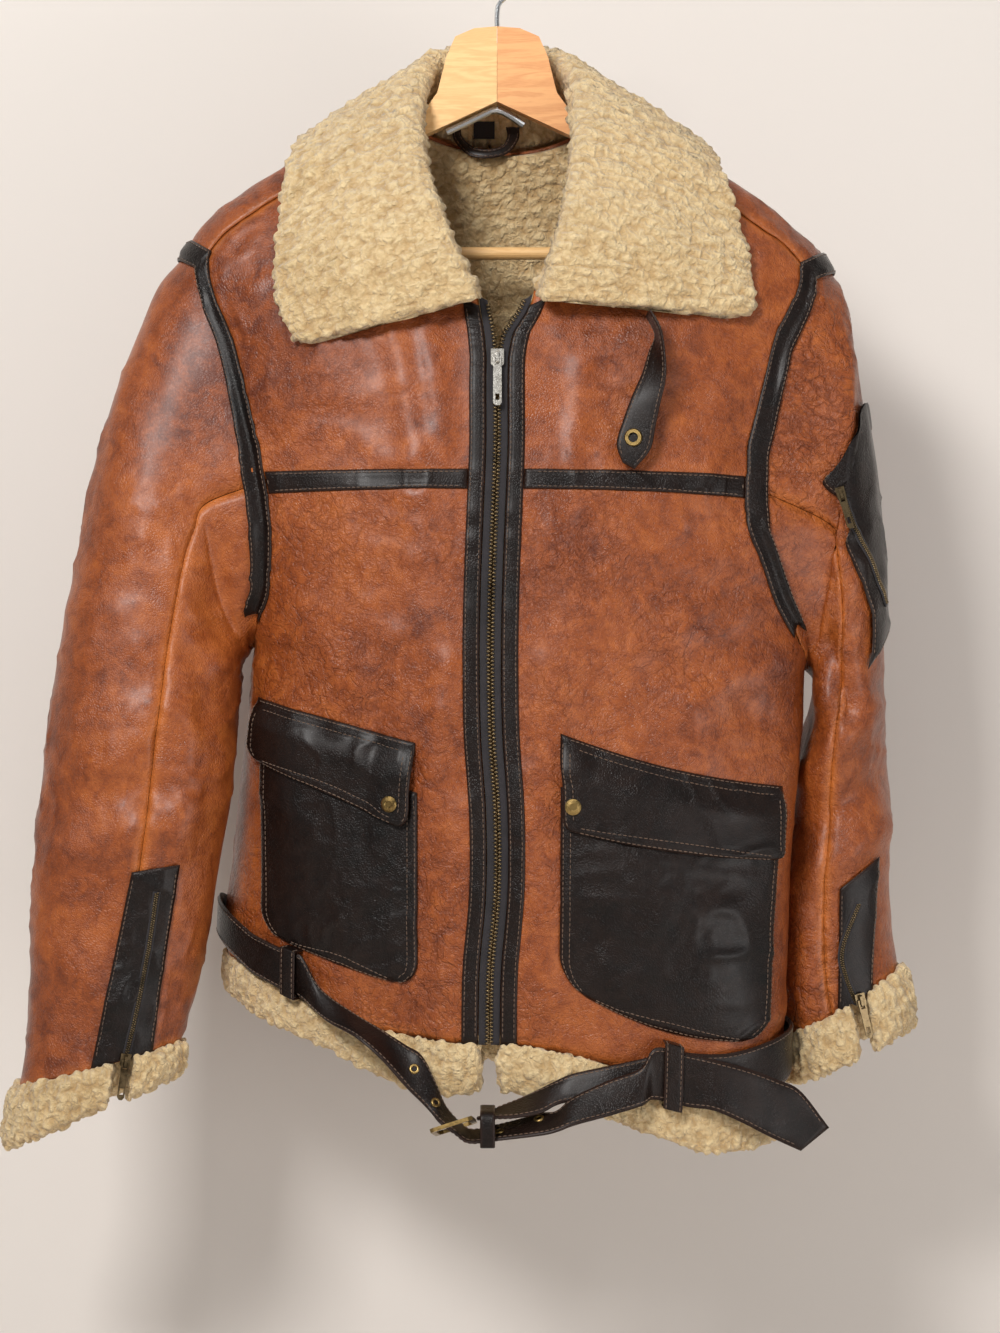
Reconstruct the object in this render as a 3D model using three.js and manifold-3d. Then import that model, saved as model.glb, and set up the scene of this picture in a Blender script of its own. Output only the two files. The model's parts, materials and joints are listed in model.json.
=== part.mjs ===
// A sherpa-lined leather jacket hanging on a wooden coat hanger.
//
// Millimetres, +Z up. The origin is the inside top of the hanger's hook, where the hook
// rests on a rail. The front faces -Y, and left and right are those of someone facing it.
// The torso is one surface of two parameters, an angle round the body and a height, and
// the panels are cut from it. The sleeves start on its armholes. What is sewn on a panel
// is worked out from the panel's own surface, moved out.
import * as THREE from 'three';
import { mergeVertices } from 'three/addons/utils/BufferGeometryUtils.js';
import Module from 'manifold-3d';

const wasm = await Module();
wasm.setup();

// Driving dimensions
const LEATHER = 2; // wall of the leather panels
const TRIM = 1.6; // wall of the dark trim strips
const SEAM_GAP = 0.3; // free space between two pieces that are sewn together
const LIFT = 0.8; // height of a sewn-on piece over the panel that carries it
const STRIP_WIDTH = 18; // armhole and chest strips
const PLACKET = { inner: 8.4, outer: 21 }; // dark band beside the zip, from its centre
const ZIP_HALF = 7.8; // half of the zip: teeth and the tape that shows
const BELT = { width: 38, wall: 3, lift: 6.8 };
const LINING = { gap: 6.5, wall: 6 }; // sherpa inside the torso
const COLLAR_WALL = 9;
const SHOULDER_SEAM = 68; // degrees from the centre front, so the seam lies forward
const ARMHOLE = { pit: 5, top: 10, turn: 25 }; // rows of the torso, and the sleeve's top
const HANGER = { depth: 14, bar: 10, spigot: 6, barZ: -238, barEnd: 203 };
const WIRE = 4; // steel wire of the hook
const FLATNESS = 0.8; // under 1 makes a section of the body squarer than an ellipse

// Rows of the torso, from the hem to the neck: where the silhouette's left and right side, the
// centre front and the centre back are, the depths in front and behind, the twist of the section
// and how far the right front hangs lower than an even hem would.
const TORSO = [
  { sides: [-214, -790, 219, -884], front: [-6, -852],
    back: -842, fore: 88, aft: 72, twist: 0.15, sag: 18 },
  { sides: [-213, -744, 221, -824], front: [-5, -795],
    back: -788, fore: 94, aft: 76, twist: 0.15, sag: 12 },
  { sides: [-209, -694, 225, -762], front: [0, -736], back: -730, fore: 98, aft: 80, twist: 0.13, sag: 8 },
  { sides: [-203, -644, 230, -700], front: [0, -676], back: -670, fore: 100, aft: 82, twist: 0.11, sag: 4 },
  { sides: [-196, -596, 236, -634], front: [-4, -616],
    back: -612, fore: 101, aft: 84, twist: 0.08, sag: 2 },
  { sides: [-189, -548, 240, -566], front: [-5, -556],
    back: -552, fore: 101, aft: 86, twist: 0.05, sag: 0 },
  { sides: [-194, -502, 244, -514], front: [-4, -500],
    back: -502, fore: 100, aft: 87, twist: 0.03, sag: 0 },
  { sides: [-204, -452, 249, -460], front: [-2, -448], back: -450, fore: 98, aft: 86, twist: 0.02, sag: 0 },
  { sides: [-216, -390, 254, -398], front: [0, -396], back: -392, fore: 94, aft: 84, twist: 0.01, sag: 0 },
  { sides: [-231, -312, 258, -322], front: [0, -346], back: -326, fore: 88, aft: 80, twist: 0, sag: 0 },
  { sides: [-246, -238, 260, -248], front: [1, -314], back: -252, fore: 82, aft: 72, twist: 0, sag: 0 },
  { sides: [-201, -193, 211, -201], front: [3, -303], back: -208, fore: 80, aft: 66, twist: 0, sag: 0 },
  { sides: [-144, -158, 150, -162], front: [5, -295], back: -176, fore: 78, aft: 59, twist: 0, sag: 0 },
  { sides: [-85, -122, 88, -124], front: [7, -287], back: -150, fore: 76, aft: 50, twist: 0, sag: 0 },
];
const NECK = TORSO.length - 1;
const CHEST_ROW = (ARMHOLE.pit + ARMHOLE.top) / 2;

// How far the front and the back edge of an armhole lie from the side, in degrees, by the
// share of the way from the pit to the shoulder.
const ARMHOLE_SHAPE = [
  { share: 0, left: 0, right: 0, back: 0 },
  { share: 0.06, left: 12, right: 14, back: 12 },
  { share: 0.2, left: 24, right: 27, back: 24 },
  { share: 0.4, left: 29, right: 37, back: 32 },
  { share: 0.6, left: 29, right: 38, back: 34 },
  { share: 0.85, left: 26, right: 32, back: 29 },
  { share: 1, left: 22, right: 22, back: 22 },
];

// Rings of the sleeves after the armhole: the silhouette's outer and inner point, the
// middle and half of the depth.
const SLEEVES = {
  left: [
    { outer: [-268, -262], inner: [-198, -553], y: 4, half: 60 },
    { outer: [-284, -305], inner: [-202, -560], y: 1, half: 61 },
    { outer: [-299, -352], inner: [-204, -569], y: -4, half: 61 },
    { outer: [-313, -405], inner: [-203, -579], y: -9, half: 60 },
    { outer: [-325, -462], inner: [-204, -596], y: -14, half: 58 },
    { outer: [-336, -522], inner: [-205, -616], y: -20, half: 56 },
    { outer: [-346, -580], inner: [-206, -640], y: -25, half: 54 },
    { outer: [-353, -635], inner: [-208, -670], y: -28, half: 52 },
    { outer: [-359, -690], inner: [-214, -707], y: -30, half: 49 },
    { outer: [-362, -742], inner: [-221, -748], y: -32, half: 46 },
    { outer: [-364, -795], inner: [-230, -796], y: -33, half: 43 },
    { outer: [-366, -845], inner: [-240, -834], y: -34, half: 41 },
    { outer: [-371, -890], inner: [-247, -855], y: -35, half: 40 },
  ],
  right: [
    { outer: [274, -275], inner: [246, -570], y: 2, half: 58 },
    { outer: [281, -315], inner: [250, -576], y: 4, half: 60 },
    { outer: [288, -362], inner: [251, -585], y: 7, half: 62 },
    { outer: [296, -412], inner: [249, -598], y: 10, half: 64 },
    { outer: [301, -465], inner: [245, -614], y: 13, half: 65 },
    { outer: [304, -520], inner: [240, -634], y: 16, half: 65 },
    { outer: [305, -575], inner: [234, -659], y: 19, half: 65 },
    { outer: [307, -628], inner: [227, -690], y: 21, half: 63 },
    { outer: [311, -680], inner: [221, -724], y: 22, half: 61 },
    { outer: [311, -728], inner: [218, -762], y: 21, half: 58 },
    { outer: [313, -768], inner: [218, -802], y: 19, half: 54 },
    { outer: [316, -788], inner: [220, -834], y: 16, half: 50 },
    { outer: [318, -802], inner: [225, -858], y: 14, half: 47 },
  ],
};

// The largest folds, as soft ridges (height over 0) and troughs: their two ends as the
// front view shows them, half of the width, and the height.
const TORSO_FOLDS = {
  front: [
    { from: [-60, -440], to: [-35, -600], wide: 22, high: 3 },
    { from: [-150, -520], to: [-110, -570], wide: 20, high: 3 },
    { from: [60, -520], to: [45, -600], wide: 20, high: 3 },
    { from: [215, -560], to: [150, -590], wide: 16, high: 4 },
    { from: [205, -600], to: [120, -560], wide: 16, high: -2.5 },
    { from: [28, -650], to: [34, -820], wide: 16, high: 4 },
    { from: [-34, -680], to: [-36, -840], wide: 15, high: 3.5 },
    { from: [-150, -230], to: [-130, -330], wide: 26, high: 3 },
    { from: [150, -240], to: [120, -330], wide: 26, high: 3 },
  ],
  back: [
    { from: [-120, -300], to: [-60, -520], wide: 30, high: 4 },
    { from: [130, -310], to: [80, -540], wide: 30, high: 4 },
    { from: [-140, -640], to: [-30, -700], wide: 26, high: 4 },
    { from: [150, -660], to: [30, -720], wide: 24, high: 4 },
    { from: [0, -740], to: [10, -830], wide: 28, high: 3 },
  ],
};
const SLEEVE_FOLDS = {
  left: {
    front: [
      { from: [-210, -470], to: [-232, -600], wide: 14, high: -4 },
      { from: [-238, -600], to: [-243, -700], wide: 12, high: 5 },
      { from: [-215, -560], to: [-300, -640], wide: 15, high: 4 },
      { from: [-235, -678], to: [-330, -708], wide: 14, high: 3.5 },
      { from: [-250, -650], to: [-345, -672], wide: 13, high: -3 },
      { from: [-300, -340], to: [-290, -450], wide: 24, high: 3 },
      { from: [-350, -780], to: [-290, -820], wide: 15, high: 3 },
    ],
    back: [
      { from: [-220, -600], to: [-330, -650], wide: 18, high: 4 },
      { from: [-230, -680], to: [-340, -720], wide: 18, high: -3 },
      { from: [-240, -740], to: [-340, -780], wide: 17, high: 4 },
    ],
  },
  right: {
    front: [
      { from: [246, -520], to: [262, -590], wide: 12, high: 6 },
      { from: [262, -540], to: [276, -600], wide: 9, high: -5 },
      { from: [290, -600], to: [240, -650], wide: 14, high: 4 },
      { from: [300, -650], to: [240, -700], wide: 14, high: -3 },
      { from: [300, -690], to: [235, -740], wide: 15, high: 4 },
      { from: [270, -330], to: [262, -430], wide: 18, high: 3 },
      { from: [240, -760], to: [246, -830], wide: 12, high: 4 },
    ],
    back: [
      { from: [240, -620], to: [300, -650], wide: 18, high: 4 },
      { from: [240, -690], to: [300, -720], wide: 18, high: -3 },
      { from: [240, -740], to: [300, -770], wide: 16, high: 3 },
    ],
  },
};

// Vectors and curves
const DEG = Math.PI / 180;
const add = (a, b, k = 1) => a.map((value, i) => value + k * b[i]);
const sub = (a, b) => add(a, b, -1);
const mix = (a, b, t) => a.map((value, i) => value + (b[i] - value) * t);
const blend = (a, b, t) => a + (b - a) * t;
const clamp = (value, low, high) => Math.min(high, Math.max(low, value));
const dot = (a, b) => a.reduce((sum, value, i) => sum + value * b[i], 0);
const cross = (a, b) => [
  a[1] * b[2] - a[2] * b[1],
  a[2] * b[0] - a[0] * b[2],
  a[0] * b[1] - a[1] * b[0],
];
const size = (a) => Math.hypot(...a);
const unit = (a) => a.map((value) => value / (size(a) || 1));
const bow = (value, power) => Math.sign(value) * Math.abs(value) ** power;
const steps = (count) => Array.from({ length: count + 1 }, (_, i) => i / count);
const smooth = (t) => t * t * (3 - 2 * t);
const flats = (points) => points.map(([x, y]) => new THREE.Vector2(x, y));

// A smooth curve through rows of numbers, at t rows from the first.
function along(rows, t) {
  const last = rows.length - 1;
  const i = clamp(Math.floor(t), 0, last - 1);
  const f = t - i;
  const at = (k) => {
    if (k < 0) return sub(add(rows[0], rows[0]), rows[1]);
    if (k > last) return sub(add(rows[last], rows[last]), rows[last - 1]);
    return rows[k];
  };
  const [a, b, c, d] = [at(i - 1), at(i), at(i + 1), at(i + 2)];
  return b.map((value, k) => value + 0.5 * f * (c[k] - a[k]
    + f * (2 * a[k] - 5 * value + 4 * c[k] - d[k] + f * (3 * (value - c[k]) + d[k] - a[k]))));
}

// A value that a table gives at some places of a key, straight between them.
function lookUp(table, key, column, at) {
  const next = table.findIndex((row) => row[key] >= at);
  if (next <= 0) return table[next < 0 ? table.length - 1 : 0][column];
  const [low, high] = [table[next - 1], table[next]];
  return blend(low[column], high[column], (at - low[key]) / (high[key] - low[key]));
}

// How far folds lift a surface at a place of the front view.
function relief(folds, x, z) {
  return folds.reduce((sum, { from, to, wide, high }) => {
    const run = sub(to, from);
    const t = clamp(dot(sub([x, z], from), run) / dot(run, run), 0, 1);
    const away = size(sub([x, z], add(from, run, t)));
    return sum + high * Math.exp(-((away / wide) ** 2));
  }, 0);
}

// The torso's surface: theta is 0 at the centre front, 90 on the right and 180 at the
// back, and row runs from 0 at the hem to NECK. Folds are left out where bare is true.
const TORSO_ROWS = TORSO.map(({ sides, front, back, fore, aft, twist, sag }) => (
  [...sides, ...front, back, fore, aft, twist, sag]));
function torso(theta, row, bare = false) {
  const [lx, lz, rx, rz, fx, fz, bz, fore, aft, twist, sag] = along(TORSO_ROWS, row);
  const s = Math.sin(theta * DEG);
  const c = Math.cos(theta * DEG);
  const reach = s < 0 ? fx - lx : rx - fx;
  const depth = c > 0 ? fore : aft;
  const x = fx + reach * s;
  const y = -depth * bow(c, FLATNESS) - twist * (x - fx);
  const droop = s > 0 && c > 0 ? sag * (2 * s * c) ** 2 : 0;
  const z = (c > 0 ? fz : bz) * c * c + (s < 0 ? lz : rz) * s * s - droop;
  if (bare) return [x, y, z];
  const out = unit([s / reach, -c / depth, 0]);
  const fade = Math.min(1, 3 * Math.abs(c));
  return add([x, y, z], out, fade * relief(c > 0 ? TORSO_FOLDS.front : TORSO_FOLDS.back, x, z));
}

// The outward direction of a surface of two parameters; toward gives its side.
function facing(surface, u, v, toward) {
  const du = sub(surface(u + 0.4, v), surface(u - 0.4, v));
  const dv = sub(surface(u, v + 0.02), surface(u, v - 0.02));
  const normal = unit(cross(du, dv));
  return dot(normal, toward(u, v)) < 0 ? normal.map((value) => -value) : normal;
}
const torsoToward = (theta) => [Math.sin(theta * DEG), -Math.cos(theta * DEG), 0.2];
const torsoFacing = (theta, row) => facing(torso, theta, Math.min(row, NECK - 0.03), torsoToward);

// The armhole as a loop: turn 0 is its top, 90 the front, 180 the pit and 270 the back.
function armholePlace(side, turn) {
  const front = turn <= 180;
  const way = front ? turn : 360 - turn;
  const sign = side === 'left' ? -1 : 1;
  if (way < ARMHOLE.turn) {
    const away = (90 - SHOULDER_SEAM) * (way / ARMHOLE.turn);
    return [sign * (front ? 90 - away : 90 + away), ARMHOLE.top];
  }
  const share = (1 + Math.cos((Math.PI * (way - ARMHOLE.turn)) / (180 - ARMHOLE.turn))) / 2;
  const column = front ? side : 'back';
  const away = lookUp(ARMHOLE_SHAPE, 'share', column, share);
  return [sign * (front ? 90 - away : 90 + away), blend(ARMHOLE.pit, ARMHOLE.top, share)];
}

// A sleeve's surface: turn as on the armhole, and ring 0 is the armhole itself.
function makeSleeve(side) {
  const rings = SLEEVES[side];
  const folds = SLEEVE_FOLDS[side];
  const ringPoint = (k, turn) => {
    if (k === 0) {
      const seam = torso(...armholePlace(side, turn));
      return add(seam, unit(sub(ringPoint(1, turn), seam)), SEAM_GAP);
    }
    const { outer, inner, y, half } = rings[k - 1];
    const c = Math.cos(turn * DEG);
    const middle = mix(outer, inner, 0.5);
    const arm = sub(outer, middle);
    return [middle[0] + arm[0] * c, y - half * bow(Math.sin(turn * DEG), 0.9), middle[1] + arm[1] * c];
  };
  const surface = (turn, ring, bare = false) => {
    const round = ((turn % 360) + 360) % 360;
    const near = clamp(Math.floor(ring), 0, rings.length);
    const list = [];
    for (let k = near - 1; k <= near + 2; k += 1) list.push(ringPoint(clamp(k, 0, rings.length), round));
    if (near === 0) list[0] = sub(add(list[1], list[1]), list[2]);
    const point = along(list, ring - near + 1);
    if (bare) return point;
    const s = Math.sin(round * DEG);
    const fade = smooth(clamp(ring / 1.5, 0, 1)) * Math.min(1, 2 * Math.abs(s));
    const out = unit([Math.cos(round * DEG) * (side === 'left' ? -1 : 1), -s, 0]);
    return add(point, out, fade * relief(s > 0 ? folds.front : folds.back, point[0], point[2]));
  };
  const toward = (turn) => [Math.cos(turn * DEG) * (side === 'left' ? -1 : 1), -Math.sin(turn * DEG), 0.1];
  const normal = (turn, ring) => {
    const own = facing(surface, turn, clamp(ring, 0.05, rings.length - 0.03), toward);
    if (ring >= 1) return own;
    const root = torsoFacing(...armholePlace(side, ((turn % 360) + 360) % 360));
    return unit(mix(root, own, smooth(Math.max(ring, 0))));
  };
  return { surface, normal, last: rings.length };
}
const ARMS = { left: makeSleeve('left'), right: makeSleeve('right') };

// A wall that is collected corner by corner: each corner has a place outside and one
// inside, and close() joins the two skins along every free edge.
class Wall {
  constructor() {
    this.corners = [];
    this.faces = [];
    this.known = new Map();
  }

  corner(key, make) {
    if (!this.known.has(key)) {
      this.known.set(key, this.corners.length);
      this.corners.push(make());
    }
    return this.known.get(key);
  }

  quad(a, b, c, d) {
    if (new Set([a, b, c]).size === 3) this.faces.push([a, b, c]);
    if (new Set([a, c, d]).size === 3) this.faces.push([a, c, d]);
  }

  // Adds a grid of corners, rows of keys that share corners with other grids.
  grid(rows, makeKey, make) {
    const ids = rows.map((row) => row.map((place) => this.corner(makeKey(place), () => make(place))));
    for (let j = 0; j + 1 < ids.length; j += 1) {
      for (let i = 0; i + 1 < ids[j].length; i += 1) {
        this.quad(ids[j][i], ids[j][i + 1], ids[j + 1][i + 1], ids[j + 1][i]);
      }
    }
  }

  close() {
    const count = this.corners.length;
    const edges = new Map();
    this.faces.forEach(([a, b, c]) => [[a, b], [b, c], [c, a]].forEach(([from, to]) => {
      edges.set(`${from},${to}`, [from, to]);
    }));
    const rims = [...edges.values()].filter(([from, to]) => !edges.has(`${to},${from}`));
    const faces = [
      ...this.faces,
      ...this.faces.map(([a, b, c]) => [a + count, c + count, b + count]),
      ...rims.flatMap(([from, to]) => [[to, from, from + count], [to, from + count, to + count]]),
    ];
    const points = [...this.corners.map((corner) => corner[0]), ...this.corners.map((corner) => corner[1])];
    return solid(points, faces);
  }
}

// A closed geometry from points and triangles, turned so that its faces point out.
function solid(points, faces) {
  const volume = faces.reduce((sum, [a, b, c]) => sum + dot(points[a], cross(points[b], points[c])), 0);
  const turned = volume < 0 ? faces.map(([a, b, c]) => [a, c, b]) : faces;
  const geometry = new THREE.BufferGeometry();
  geometry.setAttribute('position', new THREE.Float32BufferAttribute(points.flat(), 3));
  geometry.setIndex(turned.flat());
  return geometry;
}

const placeKey = ([u, v]) => `${u.toFixed(4)},${v.toFixed(5)}`;

// A wall over rows of places of a surface, between two heights over it.
function skin(surface, normal, rows, low, high, makeKey = placeKey) {
  const wall = new Wall();
  wall.grid(rows, makeKey, ([u, v]) => {
    const [base, out] = [surface(u, v), normal(u, v)];
    return [add(base, out, high), add(base, out, low)];
  });
  return wall.close();
}

// Booleans
function toManifold(geometry) {
  const bare = geometry.clone();
  bare.deleteAttribute('normal');
  bare.deleteAttribute('uv');
  const merged = mergeVertices(bare, 1e-4);
  return new wasm.Manifold(new wasm.Mesh({
    numProp: 3,
    vertProperties: new Float32Array(merged.getAttribute('position').array),
    triVerts: new Uint32Array(merged.getIndex().array),
  }));
}
function cut(body, ...tools) {
  const result = tools.reduce((rest, tool) => rest.subtract(toManifold(tool)), toManifold(body));
  const mesh = result.getMesh();
  const geometry = new THREE.BufferGeometry();
  geometry.setAttribute('position', new THREE.Float32BufferAttribute(mesh.vertProperties, 3));
  geometry.setIndex([...mesh.triVerts]);
  return geometry;
}

function join(body, other) {
  const mesh = toManifold(body).add(toManifold(other)).getMesh();
  const geometry = new THREE.BufferGeometry();
  geometry.setAttribute('position', new THREE.Float32BufferAttribute(mesh.vertProperties, 3));
  geometry.setIndex([...mesh.triVerts]);
  return geometry;
}

// Colours
const finish = (color, roughness, metalness = 0) => (
  new THREE.MeshStandardMaterial({ color, roughness, metalness }));
const FINISH = {
  tan: finish(0xa8572a, 0.45),
  dark: finish(0x2a1f1d, 0.4),
  sherpa: finish(0xcdb98a, 0.95),
  wood: finish(0xe3bd85, 0.55),
  steel: finish(0xb9bcc0, 0.25, 1),
  brass: finish(0x7d6a3f, 0.4, 1),
  tape: finish(0x1c1a1c, 0.8),
};

const jacket = new THREE.Group();
function put(name, geometry, material) {
  const mesh = new THREE.Mesh(geometry, material);
  mesh.name = name;
  jacket.add(mesh);
  return mesh;
}

// Heights of the torso's grid: even below the pit, and closer near both ends of the armhole
// so that the sleeve's columns meet the panels' corners.
const BODY_ROWS = steps(8).map((t) => t * ARMHOLE.pit);
const HOLE_SHARES = steps(10).map((t) => (1 - Math.cos(Math.PI * t)) / 2);
const HOLE_ROWS = HOLE_SHARES.map((share) => blend(ARMHOLE.pit, ARMHOLE.top, share));
const YOKE_ROWS = [0.7, 1.4, 2.2, 3].map((t) => ARMHOLE.top + t);
const ROWS = [...BODY_ROWS, ...HOLE_ROWS.slice(1), ...YOKE_ROWS];
const HOLE_TURNS = steps(10).map((t) => blend(180, ARMHOLE.turn, t));
const TOP_TURNS = [ARMHOLE.turn / 2, 0, -ARMHOLE.turn / 2];

// Half of the zip's opening beside its centre line: closed up to the slider, then a V.
const SLIDER_ROW = 9.45;
const V_HALF = 13;
const zipHalf = (row) => SEAM_GAP / 2 + V_HALF * clamp((row - SLIDER_ROW) / (NECK - SLIDER_ROW), 0, 1);
const rowSide = (row, side) => {
  const [lx, , rx, , fx] = along(TORSO_ROWS, row);
  return side === 'left' ? fx - lx : rx - fx;
};
// The angle of a place that lies so far beside the centre front.
const besideZip = (row, side, away) => {
  const angle = Math.asin((zipHalf(row) + away) / rowSide(row, side)) / DEG;
  return side === 'left' ? -angle : angle;
};

// The torso panel's free edge at a row, towards the side or the armhole.
const SEAM_DEG = 0.045;
function frontEdge(row, side) {
  if (row <= ARMHOLE.pit) return 90 - SEAM_DEG;
  if (row >= ARMHOLE.top) return SHOULDER_SEAM - 2 * SEAM_DEG;
  const share = (row - ARMHOLE.pit) / (ARMHOLE.top - ARMHOLE.pit);
  return 90 - lookUp(ARMHOLE_SHAPE, 'share', side, share) - SEAM_DEG;
}
function backEdge(row) {
  if (row <= ARMHOLE.pit) return 90 + SEAM_DEG;
  const share = (row - ARMHOLE.pit) / (ARMHOLE.top - ARMHOLE.pit);
  return 90 + lookUp(ARMHOLE_SHAPE, 'share', 'back', share) + SEAM_DEG;
}

// Front panels
const FRONT_COLUMNS = 9;
function frontRows(side, rows) {
  const sign = side === 'left' ? -1 : 1;
  return rows.map((row) => {
    const inner = besideZip(row, side, PLACKET.inner);
    const band = besideZip(row, side, PLACKET.outer);
    const outer = sign * frontEdge(row, side);
    const across = steps(FRONT_COLUMNS - 1).map((t) => blend(band, outer, t));
    return [inner, ...across].map((theta) => [theta, row]);
  });
}
const ROW_GAP = 0.0035; // rows of the torso, about a quarter of a millimetre
const lowerRows = [...ROWS.filter((row) => row < CHEST_ROW), CHEST_ROW - ROW_GAP];
const upperRows = [CHEST_ROW + ROW_GAP, ...ROWS.filter((row) => row > CHEST_ROW)];
const panel = (rows) => skin(torso, torsoFacing, rows, -LEATHER, 0);
for (const side of ['left', 'right']) {
  put(`front_${side}_lower`, panel(frontRows(side, lowerRows)), FINISH.tan);
  put(`front_${side}_upper`, panel(frontRows(side, upperRows)), FINISH.tan);
}

// Back panel: below the shoulders it ends at the sides and the armholes, and above them it
// comes over the shoulders to the front.
function backPanel() {
  const wall = new Wall();
  const make = ([theta, row]) => {
    const [base, out] = [torso(theta, row), torsoFacing(theta, row)];
    return [base, add(base, out, -LEATHER)];
  };
  const across = (row) => {
    const edge = backEdge(Math.min(row, ARMHOLE.top));
    return steps(14).map((t) => blend(edge, 360 - edge, t));
  };
  const low = ROWS.filter((row) => row <= ARMHOLE.top);
  const high = [ARMHOLE.top, ...YOKE_ROWS];
  wall.grid(low.map((row) => across(row).map((theta) => [theta, row])), placeKey, make);
  const middle = across(ARMHOLE.top);
  const over = steps(4).slice(0, 4).map((t) => blend(SHOULDER_SEAM + 2 * SEAM_DEG, middle[0], t));
  const whole = [...over, ...middle, ...over.map((theta) => 360 - theta).reverse()];
  wall.grid(high.map((row) => whole.map((theta) => [theta, row])), placeKey, make);
  return wall.close();
}
put('back_panel', backPanel(), FINISH.tan);

// Sherpa lining: a plain shell inside the torso, open at the front, hem, neck and armholes.
function lining() {
  const bare = (theta, row) => torso(theta, row, true);
  const normal = (theta, row) => facing(bare, theta, Math.min(row, NECK - 0.03), torsoToward);
  const wall = new Wall();
  const make = ([theta, row]) => {
    const [base, out] = [bare(theta, row), normal(theta, row)];
    return [add(base, out, -LINING.gap), add(base, out, -LINING.gap - LINING.wall)];
  };
  const front = (row, side) => {
    const edge = frontEdge(row, side) + SEAM_DEG;
    return steps(5).map((t) => blend(Math.abs(besideZip(row, side, 4)), edge, t));
  };
  const behind = (row) => {
    const edge = backEdge(Math.min(row, ARMHOLE.top)) - SEAM_DEG;
    return steps(10).map((t) => blend(edge, 360 - edge, t));
  };
  const over = (row) => steps(3).map((t) => blend(SHOULDER_SEAM - SEAM_DEG, behind(row)[0], t));
  const place = (rows, columns) => rows.map((row) => columns(row).map((theta) => [theta, row]));
  const mirror = (columns) => (row) => columns(row).map((theta) => 360 - theta).reverse();
  const below = [0.1, 1, 2, 3, 4, ...HOLE_ROWS.filter((row, i) => i % 2 === 0)];
  const above = [ARMHOLE.top, 11, 12, 12.96];
  [...[below, above].map((rows) => [rows, (row) => front(row, 'right')]),
    ...[below, above].map((rows) => [rows, mirror((row) => front(row, 'left'))]),
    [below, behind], [above, behind], [above, over], [above, mirror(over)],
  ].forEach(([rows, columns]) => wall.grid(place(rows, columns), placeKey, make));
  return wall.close();
}
put('sherpa_lining', lining(), FINISH.sherpa);

// Sleeves, each cut in two along the arm
const SLEEVE_RINGS = [0, 0.5, ...Array.from({ length: 13 }, (_, i) => i + 1)];
function sleeveHalf(side, turns) {
  const { surface, normal } = ARMS[side];
  const rows = SLEEVE_RINGS.map((ring) => turns.map((turn) => [turn, ring]));
  return skin(surface, normal, rows, -LEATHER, 0);
}
const SLEEVE_SEAM = 0.12; // degrees, on each side of a seam along the arm
for (const side of ['left', 'right']) {
  const split = HOLE_TURNS[5];
  const over = HOLE_TURNS.slice(5);
  const below = HOLE_TURNS.slice(0, 6);
  const outer = [...over, ...TOP_TURNS, ...[...over].reverse().map((turn) => -turn)]
    .map((turn) => clamp(turn, -split + SLEEVE_SEAM, split - SLEEVE_SEAM));
  const under = [...[...below].reverse(), ...below.slice(1).map((turn) => 360 - turn)]
    .map((turn) => clamp(turn, split + SLEEVE_SEAM, 360 - split - SLEEVE_SEAM));
  put(`sleeve_${side}_outer`, sleeveHalf(side, outer), FINISH.tan);
  put(`sleeve_${side}_under`, sleeveHalf(side, under), FINISH.tan);
}

// Places on a surface
// The two parameters of the place of a host's surface that the front view shows at x, z.
function locate({ surface, guess, last }, [x, z]) {
  let [u, v] = guess([x, z]);
  for (let i = 0; i < 14; i += 1) {
    const p = surface(u, v);
    const du = sub(surface(u + 0.5, v), p);
    const dv = sub(surface(u, v + 0.05), p);
    const det = (du[0] * dv[2] - du[2] * dv[0]) / (0.5 * 0.05);
    const [ex, ez] = [x - p[0], z - p[2]];
    u += clamp((ex * dv[2] - ez * dv[0]) / 0.05 / det, -12, 12);
    v = clamp(v + clamp((du[0] * ez - du[2] * ex) / 0.5 / det, -1, 1), -0.4, last - 0.06);
  }
  return [u, v];
}
const BODY = {
  surface: torso,
  normal: torsoFacing,
  last: NECK,
  guess: ([x, z]) => [Math.asin(clamp(x / 230, -0.95, 0.95)) / DEG, clamp((z + 850) / 62, 0, 12)],
};
const armHost = (side) => ({
  ...ARMS[side],
  guess: ([, z]) => [80, clamp((-z - 240) / 48, 1, 12)],
});

// A piece that lies on a host surface. shape gives the front view's x, z over a unit square,
// and low and high give the two heights of its wall there.
function patch(host, shape, columns, rows, low, high) {
  const wall = new Wall();
  wall.grid(rows.map((b) => columns.map((a) => [a, b])), placeKey, ([a, b]) => {
    const flat = shape(a, b);
    const [u, v] = locate(host, flat);
    const [base, out] = [host.surface(u, v), host.normal(u, v)];
    return [add(base, out, high(a, b)), add(base, out, low(a, b))];
  });
  return wall.close();
}

// A four-cornered outline with rounded lower corners and a bowed top and lower edge.
function pocketShape({ corners, topBow, lowBow, radius }) {
  const [topLeft, topRight, lowRight, lowLeft] = corners;
  const width = size(sub(topRight, topLeft));
  const height = size(sub(lowLeft, topLeft));
  return (a, b) => {
    const t = clamp((b - 1 + radius / height) / (radius / height), 0, 1);
    const narrow = 1 - (2 * radius / width) * (1 - Math.sqrt(1 - t * t));
    const across = 0.5 + (a - 0.5) * narrow;
    const [x, z] = mix(mix(topLeft, topRight, across), mix(lowLeft, lowRight, across), b);
    return [x, z - blend(topBow, lowBow, b) * Math.sin(Math.PI * across)];
  };
}

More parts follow.
